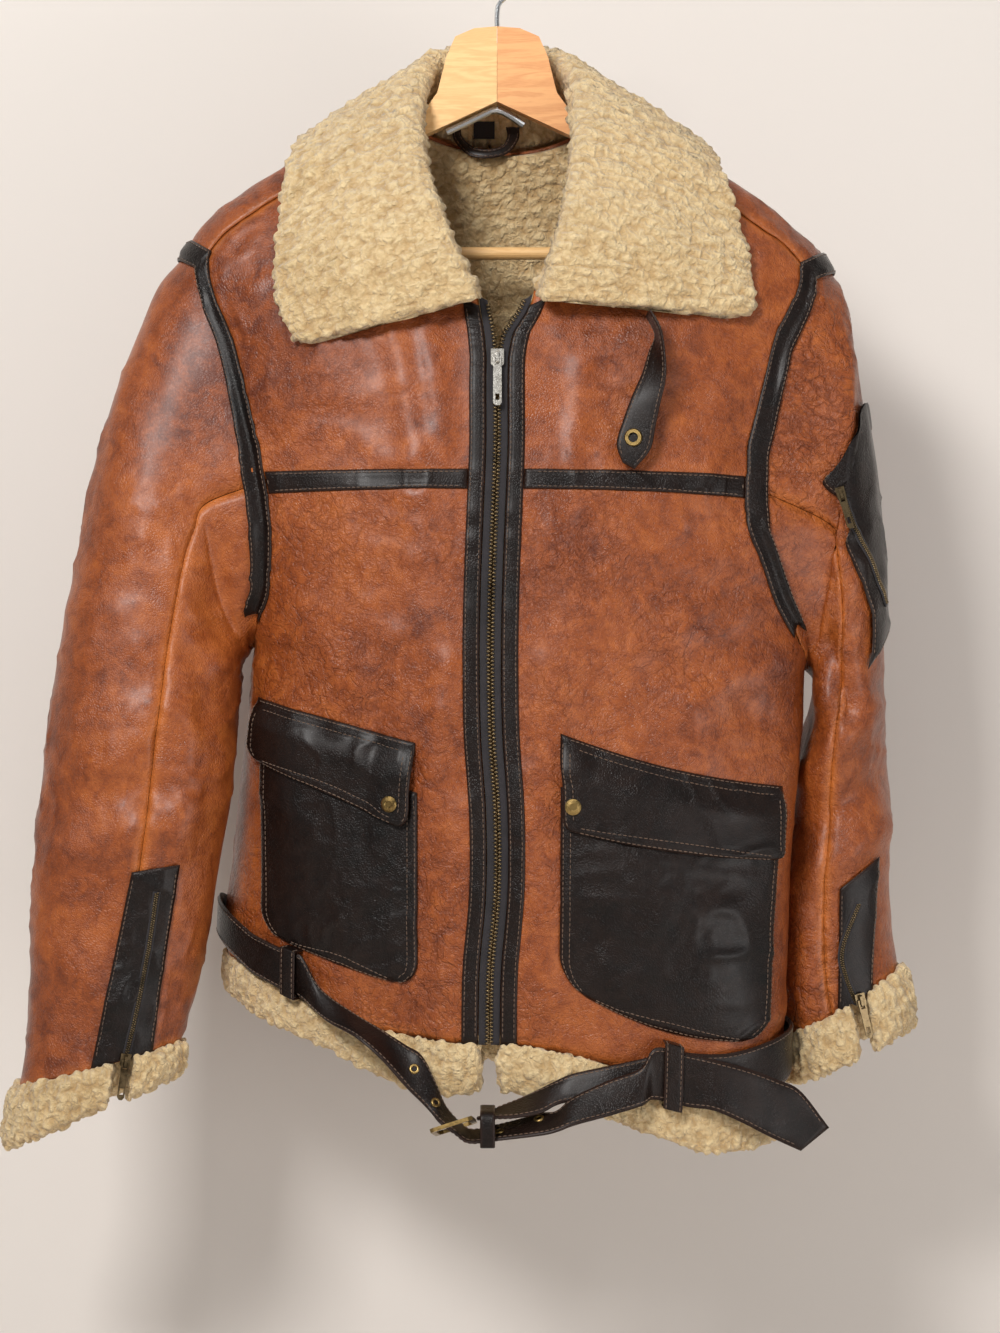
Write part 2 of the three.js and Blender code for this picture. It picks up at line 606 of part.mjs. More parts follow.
// The frame of a place on a host: its position at a height, and axes along the front view's
// right, up the surface, and out.
function placeOn(host, flat, height) {
  const [u, v] = locate(host, flat);
  const out = host.normal(u, v);
  const right = unit(cross([0, 0, 1], out));
  const up = unit(cross(out, right));
  return { at: add(host.surface(u, v), out, height), up, out };
}
function seat(mesh, { at, up, out }, turn = 0) {
  const axes = new THREE.Matrix4().makeBasis(
    new THREE.Vector3(...unit(cross(up, out))),
    new THREE.Vector3(...up),
    new THREE.Vector3(...out),
  );
  mesh.position.set(...at);
  mesh.quaternion.setFromRotationMatrix(axes);
  mesh.rotateZ(turn * DEG);
  return mesh;
}

// Patch pockets with flaps: corners from the upper left, clockwise.
const POCKETS = {
  left: {
    bag: { corners: [[-182, -622], [-60, -660], [-60, -810], [-184, -769]],
      topBow: 0, lowBow: 3, radius: 20 },
    flap: { corners: [[-183, -588], [-61, -622], [-66, -689], [-188, -633]],
      topBow: 1, lowBow: 0, radius: 10 },
    snap: [-79, -668],
  },
  right: {
    bag: { corners: [[48, -655], [214, -692], [206, -850], [47, -803]], topBow: 4, lowBow: 14, radius: 22 },
    flap: { corners: [[48, -615], [217, -656], [212, -712], [49, -687]], topBow: 6, lowBow: 5, radius: 8 },
    snap: [57, -670],
  },
};
const POCKET_COLUMNS = [0, 0.2, 0.4, 0.56, 0.7, 0.81, 0.91, 1]; // closer where the body turns
const BAG = { wall: 2.6, bulge: 4 };
const FLAP_WALL = 2.4;
const SNAP_PROFILE = [[0, 0], [6.2, 0], [6.2, 1], [5, 1.8], [3, 2.2], [2.6, 1.9], [0, 1.9]];
const hump = (t) => Math.sin(Math.PI * t) ** 0.7;
const bagHigh = (a, b) => LIFT + BAG.wall + BAG.bulge * hump(a) * hump(b);
for (const side of ['left', 'right']) {
  const { bag, flap, snap } = POCKETS[side];
  const down = [0, 0.15, 0.35, 0.55, 0.75, 0.88, 0.96, 1];
  const across = side === 'left' ? POCKET_COLUMNS.map((a) => 1 - a).reverse() : POCKET_COLUMNS;
  put(`pocket_${side}`, patch(BODY, pocketShape(bag), across, down, () => LIFT, bagHigh), FINISH.dark);
  const over = LIFT + BAG.wall + BAG.bulge + 0.5;
  const flapLow = (a, b) => LIFT + (over - LIFT) * smooth(clamp(b / 0.45, 0, 1));
  const rows = [0, 0.22, 0.45, 0.7, 0.86, 0.95, 1];
  put(`pocket_flap_${side}`, patch(BODY, pocketShape(flap), across, rows, flapLow,
    (a, b) => flapLow(a, b) + FLAP_WALL), FINISH.dark);
  const dome = new THREE.LatheGeometry(flats(SNAP_PROFILE), 14).rotateX(90 * DEG);
  seat(put(`snap_${side}`, dome, FINISH.brass), placeOn(BODY, snap, over + FLAP_WALL + SEAM_GAP));
}

// Trim strips: along the chest seam, round the armholes and beside the zip
const CHEST_HALF = STRIP_WIDTH / 2 / 62; // rows of the torso
// The angle on the body that lies so far from the armhole's edge, towards the front.
function fromArmhole(row, side, away) {
  const sign = side === 'left' ? -1 : 1;
  const edge = frontEdge(row, side);
  const seam = torso(sign * edge, row);
  let angle = edge;
  while (size(sub(torso(sign * angle, row), seam)) < away) angle -= 0.05;
  return sign * angle;
}
for (const side of ['left', 'right']) {
  const rows = [-1, 0, 1].map((way) => {
    const row = CHEST_ROW + way * CHEST_HALF;
    const from = besideZip(row, side, PLACKET.outer + SEAM_GAP);
    const to = fromArmhole(row, side, STRIP_WIDTH / 2 + 1);
    return steps(9).map((t) => [blend(from, to, t), row]);
  });
  put(`chest_strip_${side}`, skin(torso, torsoFacing, rows, LIFT, LIFT + TRIM), FINISH.dark);

  const band = ROWS.filter((row) => row < 12.4).map((row) => (
    [PLACKET.inner, PLACKET.outer].map((away) => [besideZip(row, side, away), row])));
  put(`placket_strip_${side}`, skin(torso, torsoFacing, band, SEAM_GAP, SEAM_GAP + TRIM), FINISH.dark);
}

// The armhole's strip has places across: on the torso, on the seam and two on the sleeve.
const ARM_STRIP_OPEN = { front: 34, back: 48 }; // degrees beside the pit, where the arm hides the seam
function armholeStrip(side) {
  const { surface, normal } = ARMS[side];
  const half = STRIP_WIDTH / 2;
  const centre = [(side === 'left' ? -1 : 1) * 90, CHEST_ROW];
  const turns = steps(24).map((t) => blend(ARM_STRIP_OPEN.back - 180, 180 - ARM_STRIP_OPEN.front, t));
  const walk = (path, from, far) => {
    let t = 0;
    while (size(sub(path(t), from)) < far && t < 3) t += 0.01;
    return t;
  };
  const wall = new Wall();
  const rows = turns.map((turn) => [-1, 0, 0.5, 1].map((way) => [turn, way]));
  wall.grid(rows, placeKey, ([turn, way]) => {
    const round = (turn + 360) % 360;
    const place = armholePlace(side, round);
    const seam = torso(...place);
    const out = torsoFacing(...place);
    let [base, up] = [seam, unit(add(out, normal(round, 0.5)))];
    if (way < 0) {
      const wide = (t) => [centre[0] + (place[0] - centre[0]) * (1 + t),
        centre[1] + (place[1] - centre[1]) * (1 + t)];
      const t = walk((k) => torso(...wide(k)), seam, half);
      [base, up] = [torso(...wide(t)), torsoFacing(...wide(t))];
    } else if (way > 0) {
      const t = walk((k) => surface(round, k), seam, half * way);
      [base, up] = [surface(round, t), normal(round, t)];
    }
    const low = way < 0 ? LIFT : LIFT + 0.6 + 2.4 * smooth(clamp((Math.abs(turn) - 90) / 50, 0, 1));
    return [add(base, up, low + TRIM), add(base, up, low)];
  });
  return wall.close();
}
for (const side of ['left', 'right']) put(`armhole_strip_${side}`, armholeStrip(side), FINISH.dark);

// The front zip: each half is its tape with the teeth raised along its inner edge.
const ZIP = { teeth: 3, teethHigh: 2, tapeHigh: 0.3, tapeLow: -1.7 };
function zipTape(surface, normal, rows, beside) {
  const wall = new Wall();
  const profile = [[0, ZIP.teethHigh], [ZIP.teeth, ZIP.teethHigh], [ZIP.teeth + 0.4, ZIP.tapeHigh],
    [ZIP_HALF, ZIP.tapeHigh]];
  wall.grid(rows.map((row) => profile.map(([away, high]) => [away, row, high])),
    placeKey, ([away, row, high]) => {
    const place = beside(away, row);
    const [base, out] = [surface(...place), normal(...place)];
    return [add(base, out, high), add(base, out, ZIP.tapeLow)];
  });
  return wall.close();
}
for (const side of ['left', 'right']) {
  put(`front_zip_${side}`, zipTape(torso, torsoFacing, ROWS.filter((row) => row < 12.9),
    (away, row) => [besideZip(row, side, away), row]), FINISH.tape);
}

// A slider is a plate with an arch, and a pull tab whose bar lies in the arch.
const PULL = { bar: 1.4, arch: 2.2, clear: 0.6 };
function sliderShape(width, height) {
  const [x, y, corner] = [width / 2, height / 2, 2];
  const plate = new THREE.Shape(flats([[-x, corner - y], [corner - x, -y], [x - corner, -y],
    [x, corner - y], [x, y], [-x, y]]));
  const base = new THREE.ExtrudeGeometry(plate, { depth: 2, bevelEnabled: false });
  const arch = new THREE.Shape(flats([[-4.5, 1], [4.5, 1], [4.5, 4.2], [3.7, 5.4], [-3.7, 5.4],
    [-4.5, 4.2]]));
  const opening = new THREE.Shape(flats([[-3, 2], [3, 2], [3, 4.2], [-3, 4.2]]));
  const bridge = new THREE.ExtrudeGeometry(arch, { depth: PULL.arch, bevelEnabled: false });
  const hole = new THREE.ExtrudeGeometry(opening, { depth: PULL.arch + 2, bevelEnabled: false });
  hole.translate(0, 0, -1);
  [bridge, hole].forEach((g) => g.translate(0, 0, -PULL.arch / 2).rotateX(90 * DEG).rotateZ(90 * DEG));
  return join(cut(bridge, hole), base);
}
function pullShape(length, width) {
  const inner = PULL.arch / 2 + PULL.clear;
  const [neck, half, bar] = [inner + 1.3, width / 2, PULL.bar / 2];
  const tab = new THREE.Shape(flats([[-neck, bar], [neck, bar], [neck, -7], [half, -10],
    [half, 2 - length], [half - 1.6, -length], [1.6 - half, -length], [-half, 2 - length],
    [-half, -10], [-neck, -7]]));
  const eye = [[-inner, -bar], [-inner, -6.5], [inner, -6.5], [inner, -bar]];
  const slot = [[-1.6, 9 - length], [-1.6, 4 - length], [1.6, 4 - length], [1.6, 9 - length]];
  [eye, slot].forEach((hole) => tab.holes.push(new THREE.Path(flats(hole))));
  const geometry = new THREE.ExtrudeGeometry(tab, { depth: PULL.bar, bevelEnabled: false });
  return geometry.translate(0, 0, -PULL.bar / 2);
}
// The pull's bar lies in the middle of the arch's opening, 3.1 over the plate's underside.
const PULL_HEIGHT = 3.1;
function zipEnd(name, place, { width, height, length, tab, turn }) {
  seat(put(`${name}_slider`, sliderShape(width, height), FINISH.brass), place, turn);
  seat(put(`${name}_pull`, pullShape(length, tab), FINISH.brass), place, turn).translateZ(PULL_HEIGHT);
}
const SLIDER_FLAT = [0.3, -330]; // the front zip's slider as the front view shows it
zipEnd('front_zip', placeOn(BODY, SLIDER_FLAT, ZIP.teethHigh + SEAM_GAP),
  { width: 10, height: 14, length: 38, tab: 6.5, turn: 0 });

// Cuffs: a dark placket with a zip, and its slider at the lower end.
const CUFFS = {
  left: {
    placket: [[-279, -721], [-244, -715], [-266, -864], [-311, -874]],
    teeth: [[-261, -736], [-267, -778], [-277, -829], [-286, -868]],
    slider: [-287.5, -874],
    turn: -8,
  },
  right: {
    placket: [[266, -737], [296, -712], [292, -817], [265, -838]],
    teeth: [[280, -748], [268, -784], [271, -806], [280, -829]],
    slider: [283, -834],
    turn: 14,
  },
};
for (const side of ['left', 'right']) {
  const { placket, teeth, slider, turn } = CUFFS[side];
  const host = armHost(side);
  const low = LIFT + 1.1;
  const shape = pocketShape({ corners: placket, topBow: 0, lowBow: 0, radius: 0.1 });
  put(`cuff_placket_${side}`, patch(host, shape, steps(5), steps(8), () => low, () => low + TRIM),
    FINISH.dark);
  const chain = (a, b) => add(along(teeth, 3 * b), [1, 0.25], ZIP.teeth * (2 * a - 1));
  const over = low + TRIM + SEAM_GAP;
  put(`cuff_zip_${side}`, patch(host, chain, steps(1), steps(8), () => over, () => over + 1.6),
    FINISH.brass);
  zipEnd(`cuff_zip_${side}`, placeOn(host, slider, over + 1.6 + SEAM_GAP),
    { width: 8, height: 11, length: 30, tab: 5.5, turn });
}

// Hem: a thick sherpa band below the leather, open at the zip. drop is how far it hangs.
const HEM_DROP = [
  { theta: 0, drop: 33 }, { theta: 20, drop: 39 }, { theta: 45, drop: 46 }, { theta: 90, drop: 42 },
  { theta: 180, drop: 40 }, { theta: 270, drop: 31 }, { theta: 323, drop: 30 }, { theta: 347, drop: 43 },
  { theta: 360, drop: 34 },
];
const HEM_PROFILE = [[0.5, 1.2, 0], [3, 1.6, 0], [4, 0, 0.55], [1, 0, 0.95], [-4, 0, 1], [-9, 0, 0.92],
  [-11.5, 0, 0.5], [-12, 1.2, 0]];
function hemBand() {
  const rim = (theta) => {
    const base = torso(theta, 0);
    const [x, y] = torsoFacing(theta, 0);
    return [base, unit([x, y, 0])];
  };
  const [from, to] = [besideZip(0, 'right', 9), 360 + besideZip(0, 'left', 9)];
  return rod(steps(34).map((t) => {
    const theta = blend(from, to, t);
    const [base, out] = rim(theta);
    const drop = lookUp(HEM_DROP, 'theta', 'drop', theta);
    return HEM_PROFILE.map(([far, below, share]) => add(add(base, out, far), [0, 0, -1],
      below + drop * share));
  }));
}
// A solid through closed sections of equal length, with flat ends.
function rod(sections) {
  const count = sections[0].length;
  const last = sections.length - 1;
  const faces = [];
  for (let k = 0; k < last; k += 1) {
    for (let i = 0; i < count; i += 1) {
      const [a, b] = [k * count + i, k * count + ((i + 1) % count)];
      faces.push([a, b, b + count], [a, b + count, a + count]);
    }
  }
  const cap = THREE.ShapeUtils.triangulateShape(flatten(sections[0]), []);
  const endCap = THREE.ShapeUtils.triangulateShape(flatten(sections[last]), []);
  faces.push(...cap.map(([a, b, c]) => [c, b, a]));
  faces.push(...endCap.map(([a, b, c]) => [a + last * count, b + last * count, c + last * count]));
  return solid(sections.flat(), orient(faces, sections, count, last));
}
// A section's points in its own plane, for its cap.
function flatten(section) {
  const middle = section.reduce((sum, p) => add(sum, p), [0, 0, 0]).map((value) => value / section.length);
  const arm = unit(sub(section[0], middle));
  const normal = unit(section.reduce((sum, p, i) => (
    add(sum, cross(sub(p, middle), sub(section[(i + 1) % section.length], middle)))), [0, 0, 0]));
  const other = cross(normal, arm);
  return section.map((p) => new THREE.Vector2(dot(sub(p, middle), arm), dot(sub(p, middle), other)));
}
// Turns the caps so that every edge of the solid is used once each way.
function orient(faces, sections, count, last) {
  const side = last * count * 2;
  const edgesOf = ([a, b, c]) => [`${a},${b}`, `${b},${c}`, `${c},${a}`];
  const used = new Set(faces.slice(0, side).flatMap(edgesOf));
  const caps = faces.slice(side);
  const half = caps.length / 2;
  return [caps.slice(0, half), caps.slice(half)].reduce((all, group) => {
    const clash = group.some((face) => edgesOf(face).some((edge) => used.has(edge)));
    return [...all, ...(clash ? group.map(([a, b, c]) => [a, c, b]) : group)];
  }, faces.slice(0, side));
}
put('hem_sherpa', hemBand(), FINISH.sherpa);

// Sherpa cuffs: bands round the sleeves' ends, open at the cuff's zip.
const CUFF_FUR = {
  left: { open: 8.5, drop: [{ turn: 0, drop: 50 }, { turn: 180, drop: 26 }, { turn: 360, drop: 50 }] },
  right: { open: 8.5, drop: [{ turn: 0, drop: 50 }, { turn: 180, drop: 34 }, { turn: 360, drop: 50 }] },
};
const CUFF_PROFILE = [[0, 0.4, 0], [5, 0.2, 0], [8, 0, 0.4], [6, 0, 0.85], [0, 0, 1], [-7, 0, 0.9],
  [-10, 0, 0.45], [-10, 0.4, 0]];
function cuffBand(side) {
  const { surface, normal, last } = ARMS[side];
  const { open, drop } = CUFF_FUR[side];
  const [slit] = locate(armHost(side), CUFFS[side].slider);
  const middle = mix(surface(0, last), surface(180, last), 0.5);
  const back = mix(surface(0, last - 1), surface(180, last - 1), 0.5);
  const down = unit(sub(middle, back));
  return rod(steps(20).map((t) => {
    const turn = slit + blend(open, 360 - open, t);
    const base = surface(turn, last);
    const own = normal(turn, last - 0.1);
    const out = unit(sub(own, down.map((value) => value * dot(own, down))));
    const fall = lookUp(drop, 'turn', 'drop', turn % 360);
    return CUFF_PROFILE.map(([far, below, share]) => add(add(base, out, far), down, below + fall * share));
  }));
}
for (const side of ['left', 'right']) put(`cuff_sherpa_${side}`, cuffBand(side), FINISH.sherpa);

// Collar: sections from its left front end round the back to the right one. The neck angle
// is where it is sewn on, the roll is its fold's innermost line and the edge is its hem;
// an edge with no depth lies on the chest.
const COLLAR = [
  { theta: -14, roll: [-12, -96, -279], edge: [-150, null, -313] },
  { theta: -35, roll: [-25, -99, -256], edge: [-162, null, -290] },
  { theta: -55, roll: [-41, -90, -217], edge: [-166, null, -252] },
  { theta: -72, roll: [-52, -68, -178], edge: [-164, null, -218] },
  { theta: -90, roll: [-56, -38, -140], edge: [-160, -46, -184] },
  { theta: -106, roll: [-54, -8, -104], edge: [-152, 2, -150] },
  { theta: -127, roll: [-47, 24, -78], edge: [-126, 50, -156] },
  { theta: -152, roll: [-30, 46, -65], edge: [-80, 78, -162] },
  { theta: -180, roll: [0, 55, -61], edge: [0, 86, -164] },
  { theta: -208, roll: [30, 46, -65], edge: [82, 78, -163] },
  { theta: -233, roll: [48, 24, -78], edge: [130, 50, -158] },
  { theta: -254, roll: [55, -8, -104], edge: [158, 2, -153] },
  { theta: -270, roll: [56, -38, -140], edge: [174, -46, -190] },
  { theta: -288, roll: [54, -68, -178], edge: [184, null, -226] },
  { theta: -305, roll: [49, -90, -215], edge: [191, null, -254] },
  { theta: -325, roll: [40, -99, -250], edge: [194, null, -277] },
  { theta: -343, roll: [31, -96, -281], edge: [192, null, -292] },
];
const COLLAR_SEAM = 2; // its wall where it is sewn on
const ROLL = { deep: 9, half: 7 }; // the fold's depth and half of its inner width
const chestDepth = (x, z) => torso(...locate(BODY, [x, z]))[1];
function collarCurves() {
  const rough = COLLAR.map(({ theta, roll, edge }) => {
    const root = torso(theta, NECK);
    const below = torso(theta, NECK - 0.3);
    const sewn = add(root, unit(sub(root, below)), SEAM_GAP + 2.5);
    const [x, y, z] = edge;
    const hem = y === null ? [x, chestDepth(x, z) - COLLAR_WALL / 2 - 2.5, z] : edge;
    return { sewn, roll, hem };
  });
  return rough.map(({ sewn, roll, hem }, i) => {
    const [before, after] = [rough[Math.max(i - 1, 0)].roll, rough[Math.min(i + 1, rough.length - 1)].roll];
    const apex = unit(sub(roll, mix(sewn, hem, 0.5)));
    const side = unit(cross(sub(after, before), apex));
    const out = dot(side, sub(hem, sewn)) < 0 ? side.map((value) => -value) : side;
    const top = add(roll, apex, -COLLAR_WALL / 2);
    const stand = add(add(top, apex, -ROLL.deep), out, -ROLL.half);
    const fall = add(add(top, apex, -ROLL.deep), out, ROLL.half);
    const belly = add(mix(fall, hem, 0.5), out, 5);
    return [sewn, mix(sewn, stand, 0.55), stand, top, fall, belly, hem];
  });
}
const COLLAR_CURVES = collarCurves();
const collar = (station, w) => along(COLLAR_CURVES.map((curve) => along(curve, w)), station);
function collarSolid() {
  const normal = (u, v) => {
    const du = sub(collar(u + 0.05, v), collar(u - 0.05, v));
    const dv = sub(collar(u, v + 0.04), collar(u, v - 0.04));
    return unit(cross(du, dv));
  };
  const across = [0, 1, 2, 2.5, 3, 3.5, 4, 4.7, 5.4, 6];
  const rows = steps(24).map((t) => across.map((w) => [t * (COLLAR.length - 1), w]));
  const wall = new Wall();
  wall.grid(rows, placeKey, ([station, w]) => {
    const half = blend(COLLAR_SEAM, COLLAR_WALL, smooth(clamp(w / 1.9, 0, 1))) / 2;
    const [base, out] = [collar(station, w), normal(station, w)];
    return [add(base, out, half), add(base, out, -half)];
  });
  return wall.close();
}
put('collar', collarSolid(), FINISH.sherpa);

// A strap between two edges: rows of an upper and a lower point.
function strap(rows, wall, pieces, across = 1) {
  const [uppers, lowers] = [rows.map((row) => row.upper), rows.map((row) => row.lower)];
  const surface = (w, t) => mix(along(uppers, t), along(lowers, t), w);
  const normal = (w, t) => {
    const last = rows.length - 1;
    const at = clamp(t, 0.02, last - 0.02);
    const dt = sub(surface(w, at + 0.02), surface(w, at - 0.02));
    return unit(cross(sub(surface(1, at), surface(0, at)), dt));
  };
  const grid = steps(pieces).map((t) => steps(across).map((w) => [w, t * (rows.length - 1)]));
  return skin(surface, normal, grid, -wall / 2, wall / 2);
}

// The throat strap under the right wing hangs free; its edges seen from the front.
const THROAT_STRAP = [
  { upper: [114, chestDepth(114, -296) - 0.3, -296], lower: [116, -104, -294] },
  { upper: [121, -84, -311], lower: [124, -108, -311] },
  { upper: [116, -90, -324], lower: [127.5, -108, -335] },
  { upper: [110, -95, -342], lower: [127, -106, -350] },
  { upper: [102, -98, -360], lower: [124, -104, -363] },
  { upper: [95, -99, -379], lower: [120, -103, -382] },
  { upper: [90.5, -100, -396], lower: [116, -102, -400] },
  { upper: [95, -100.5, -410], lower: [104, -101, -415] },
];
const EYELET = { at: [103, -100.9, -391], outer: 7, hole: 3.4, wall: 1.2 };
function eyeletHole() {
  const tool = new THREE.CylinderGeometry(EYELET.hole + 0.3, EYELET.hole + 0.3, 20, 16);
  return tool.translate(...EYELET.at);
}
put('throat_strap', cut(strap(THROAT_STRAP, 2.4, 14, 2), eyeletHole()), FINISH.dark);
const ringProfile = [[EYELET.hole, 0], [EYELET.outer, 0], [EYELET.outer - 0.8, EYELET.wall],
  [EYELET.hole + 0.4, EYELET.wall], [EYELET.hole, 0]];
const eyelet = put('throat_strap_eyelet', new THREE.LatheGeometry(flats(ringProfile), 14), FINISH.brass);
eyelet.position.set(EYELET.at[0], EYELET.at[1] - 1.9, EYELET.at[2]);
eyelet.rotation.set(180 * DEG, 0, 8 * DEG);

// Arm pocket on the right sleeve: its front edge as the front view shows it, and its back
// edge behind the arm.
const ARM_POCKET = {
  droop: 0.36,
  lift: 2.6,
  front: [[281, -386], [266, -408], [255, -429], [262, -452], [268, -470], [276, -493], [287, -534],
    [284, -566]],
  back: { turn: -38, from: 3.4, to: 6.4 },
  zip: [[264, -428], [273, -457], [285, -484], [296, -516]],
  slider: [264.5, -431],
};
function armPocket(host) {
  const places = ARM_POCKET.front.map((flat) => locate(host, flat));
  const { turn, from, to } = ARM_POCKET.back;
  // The upper edge keeps its height round the arm, so its rings are not even in turn.
  const spread = (a, b) => add(mix(along(places, b * (places.length - 1)), [turn, blend(from, to, b)], a),
    [0, ARM_POCKET.droop * Math.sin(Math.PI * a) * (1 - b)]);
  const rows = steps(10).map((b) => steps(6).map((a) => spread(a, b)));
  return skin(host.surface, host.normal, rows, ARM_POCKET.lift, ARM_POCKET.lift + TRIM);
}
const rightArm = armHost('right');
put('arm_pocket', armPocket(rightArm), FINISH.dark);
const armChain = (a, b) => add(along(ARM_POCKET.zip, 3 * b), [0.95, 0.3], 3 * (2 * a - 1));
const armOver = ARM_POCKET.lift + TRIM + SEAM_GAP + 0.5;
put('arm_pocket_zip', patch(rightArm, armChain, steps(1), steps(8),
  () => armOver, () => armOver + 1.6), FINISH.brass);
zipEnd('arm_pocket', placeOn(rightArm, ARM_POCKET.slider, armOver + 1.6 + SEAM_GAP),
  { width: 7, height: 10, length: 28, tab: 5, turn: 16 });

// Belt: round the back from loop to loop, then loose in front to the buckle. Its free edges
// are given from the loop outward.
const BELT_ROWS = [
  { theta: 38, row: 0.11 }, { theta: 50, row: 0.16 }, { theta: 64, row: 0.28 }, { theta: 90, row: 0.44 },
  { theta: 120, row: 0.48 }, { theta: 180, row: 0.5 }, { theta: 250, row: 0.56 }, { theta: 270, row: 0.66 },
  { theta: 284, row: 0.55 }, { theta: 300, row: 0.38 }, { theta: 316, row: 0.38 },
];
const BELT_HALF = BELT.width / 2 / 60; // rows of the torso
const bareTorso = (theta, row) => torso(theta, row, true);
const bareFacing = (theta, row) => facing(bareTorso, theta, row, torsoToward);
const beltRow = (theta) => lookUp(BELT_ROWS, 'theta', 'row', theta < 0 ? theta + 360 : theta);
// The belt's two edges at an angle and a height over the body.
function beltEdges(theta, height) {
  const [upper, lower] = [1, -1].map((way) => {
    const place = [theta, beltRow(theta) + way * BELT_HALF];
    return add(bareTorso(...place), bareFacing(...place), height);
  });
  return { upper, lower };
}
const beltRows = steps(34).map((t) => {
  const theta = blend(38.2, 314, t);
  return [-1, 1].map((way) => [theta, beltRow(theta) + way * BELT_HALF]);
});
put('belt_back', skin(bareTorso, bareFacing, beltRows, BELT.lift, BELT.lift + BELT.wall), FINISH.dark);
const BELT_FREE = [
  beltEdges(-45.7, BELT.lift + BELT.wall / 2),
  beltEdges(-42.4, BELT.lift + BELT.wall / 2),
  { upper: [-135.5, -64, -812], lower: [-130, -80, -835] },
  { upper: [-109, -76, -830], lower: [-106, -104, -845] },
  { upper: [-88, -86, -841], lower: [-86, -112, -861] },
  { upper: [-69, -94, -851.5], lower: [-68, -109, -882] },
  { upper: [-57, -98, -859], lower: [-57, -109, -893] },
  { upper: [-46.5, -98, -879], lower: [-50, -112, -900] },
  { upper: [-39, -97, -897], lower: [-43, -120, -906.5] },
  { upper: [-30, -96.5, -908], lower: [-32, -129, -913] },
  { upper: [-19, -97, -915], lower: [-21, -131, -920] },
  { upper: [2, -101, -911], lower: [-2, -130, -918.5] },
  { upper: [32, -106, -902], lower: [32, -131, -914.5] },
  { upper: [45, -112, -899], lower: [45, -131.5, -911.5] },
  { upper: [58, -114.5, -888], lower: [58, -130, -907] },
  { upper: [84, -112.5, -876], lower: [84, -124, -901] },
  { upper: [108, -111, -867], lower: [108, -118, -894.5] },
  beltEdges(33.6, BELT.lift + 1.5 * BELT.wall + 2),
  beltEdges(41.5, BELT.lift + 1.5 * BELT.wall + 2),
  { upper: [168, -106, -862], lower: [163, -109, -899] },
  { upper: [192, -102, -869], lower: [184, -107, -908] },
  { upper: [212, -98, -877], lower: [203, -104, -918] },
  { upper: [230, -96, -886], lower: [217, -101, -925] },
  { upper: [252, -95, -914], lower: [230, -99, -931] },
];
const BELT_UNDER = [
  { upper: [-15.2, -95, -908], lower: [-15.2, -133, -901] },
  { upper: [0, -94, -900], lower: [0, -126, -902] },
  { upper: [16, -94, -893], lower: [14, -123, -902.5] },
  { upper: [32, -97, -885], lower: [32, -118, -900] },
  { upper: [45, -100, -878], lower: [45, -112, -894.5] },
  { upper: [58, -102.5, -872], lower: [58, -110, -892] },
  { upper: [84, -104, -866], lower: [84, -111, -890] },
  { upper: [108, -103, -861], lower: [108, -106, -888] },
  beltEdges(37.8, BELT.lift + BELT.wall / 2),
];
put('belt_free_run', strap(BELT_FREE, BELT.wall, 42), FINISH.dark);
put('belt_buckle_run', strap(BELT_UNDER, BELT.wall, 14), FINISH.dark);

// A belt loop: a strip over the belt between two angles of the torso, as rows of the torso and
// heights over it.
function beltLoop({ thetas, top, foot, high, reach }) {
  const [wall, thick] = [2, 2 / 60];
  const outline = [[top, LIFT], [top, high], [foot, high], [foot, reach], [foot + thick, reach],
    [foot + thick, high - wall], [top - thick, high - wall], [top - thick, LIFT]];
  return rod(thetas.map((theta) => outline.map(([row, height]) => (
    add(bareTorso(theta, row), bareFacing(theta, row), height)))));
}
put('belt_loop_left', beltLoop({ thetas: [-48.2, -46, -43.8],
  top: 0.765, foot: 0.02, high: 14.6, reach: LIFT }), FINISH.dark);
put('belt_loop_right', beltLoop({ thetas: [35.6, 37.8, 40],
  top: 0.52, foot: -0.28, high: 17.2, reach: 5.5 }), FINISH.dark);

// Buckle: a frame that the free run passes through, and the leather keeper beside it.
const BUCKLE = { wide: 33, deep: 50.6, bar: 3.6, wall: 3, corner: 3 };
const BUCKLE_PLACE = { at: [-32.6, -115, -909.8], up: [0, -46, 10.5], along: [28, 0, 9] };
function frameShape(wide, high) {
  const [x, y, corner] = [wide / 2, high / 2, BUCKLE.corner];
  return flats([[corner - x, -y], [x - corner, -y], [x, corner - y], [x, y - corner], [x - corner, y],
    [corner - x, y], [-x, y - corner], [-x, corner - y]]);
}
const frame = new THREE.Shape(frameShape(BUCKLE.wide, BUCKLE.deep));
const inside = frameShape(BUCKLE.wide - 2 * BUCKLE.bar, BUCKLE.deep - 2 * BUCKLE.bar);
frame.holes.push(new THREE.Path(inside.reverse()));
const out = unit(cross(BUCKLE_PLACE.along, BUCKLE_PLACE.up));
const buckle = new THREE.ExtrudeGeometry(frame, { depth: BUCKLE.wall, bevelEnabled: false });
seat(put('belt_buckle', buckle.translate(0, 0, -BUCKLE.wall / 2), FINISH.brass),
  { at: BUCKLE_PLACE.at, up: unit(cross(out, BUCKLE_PLACE.along)), out });
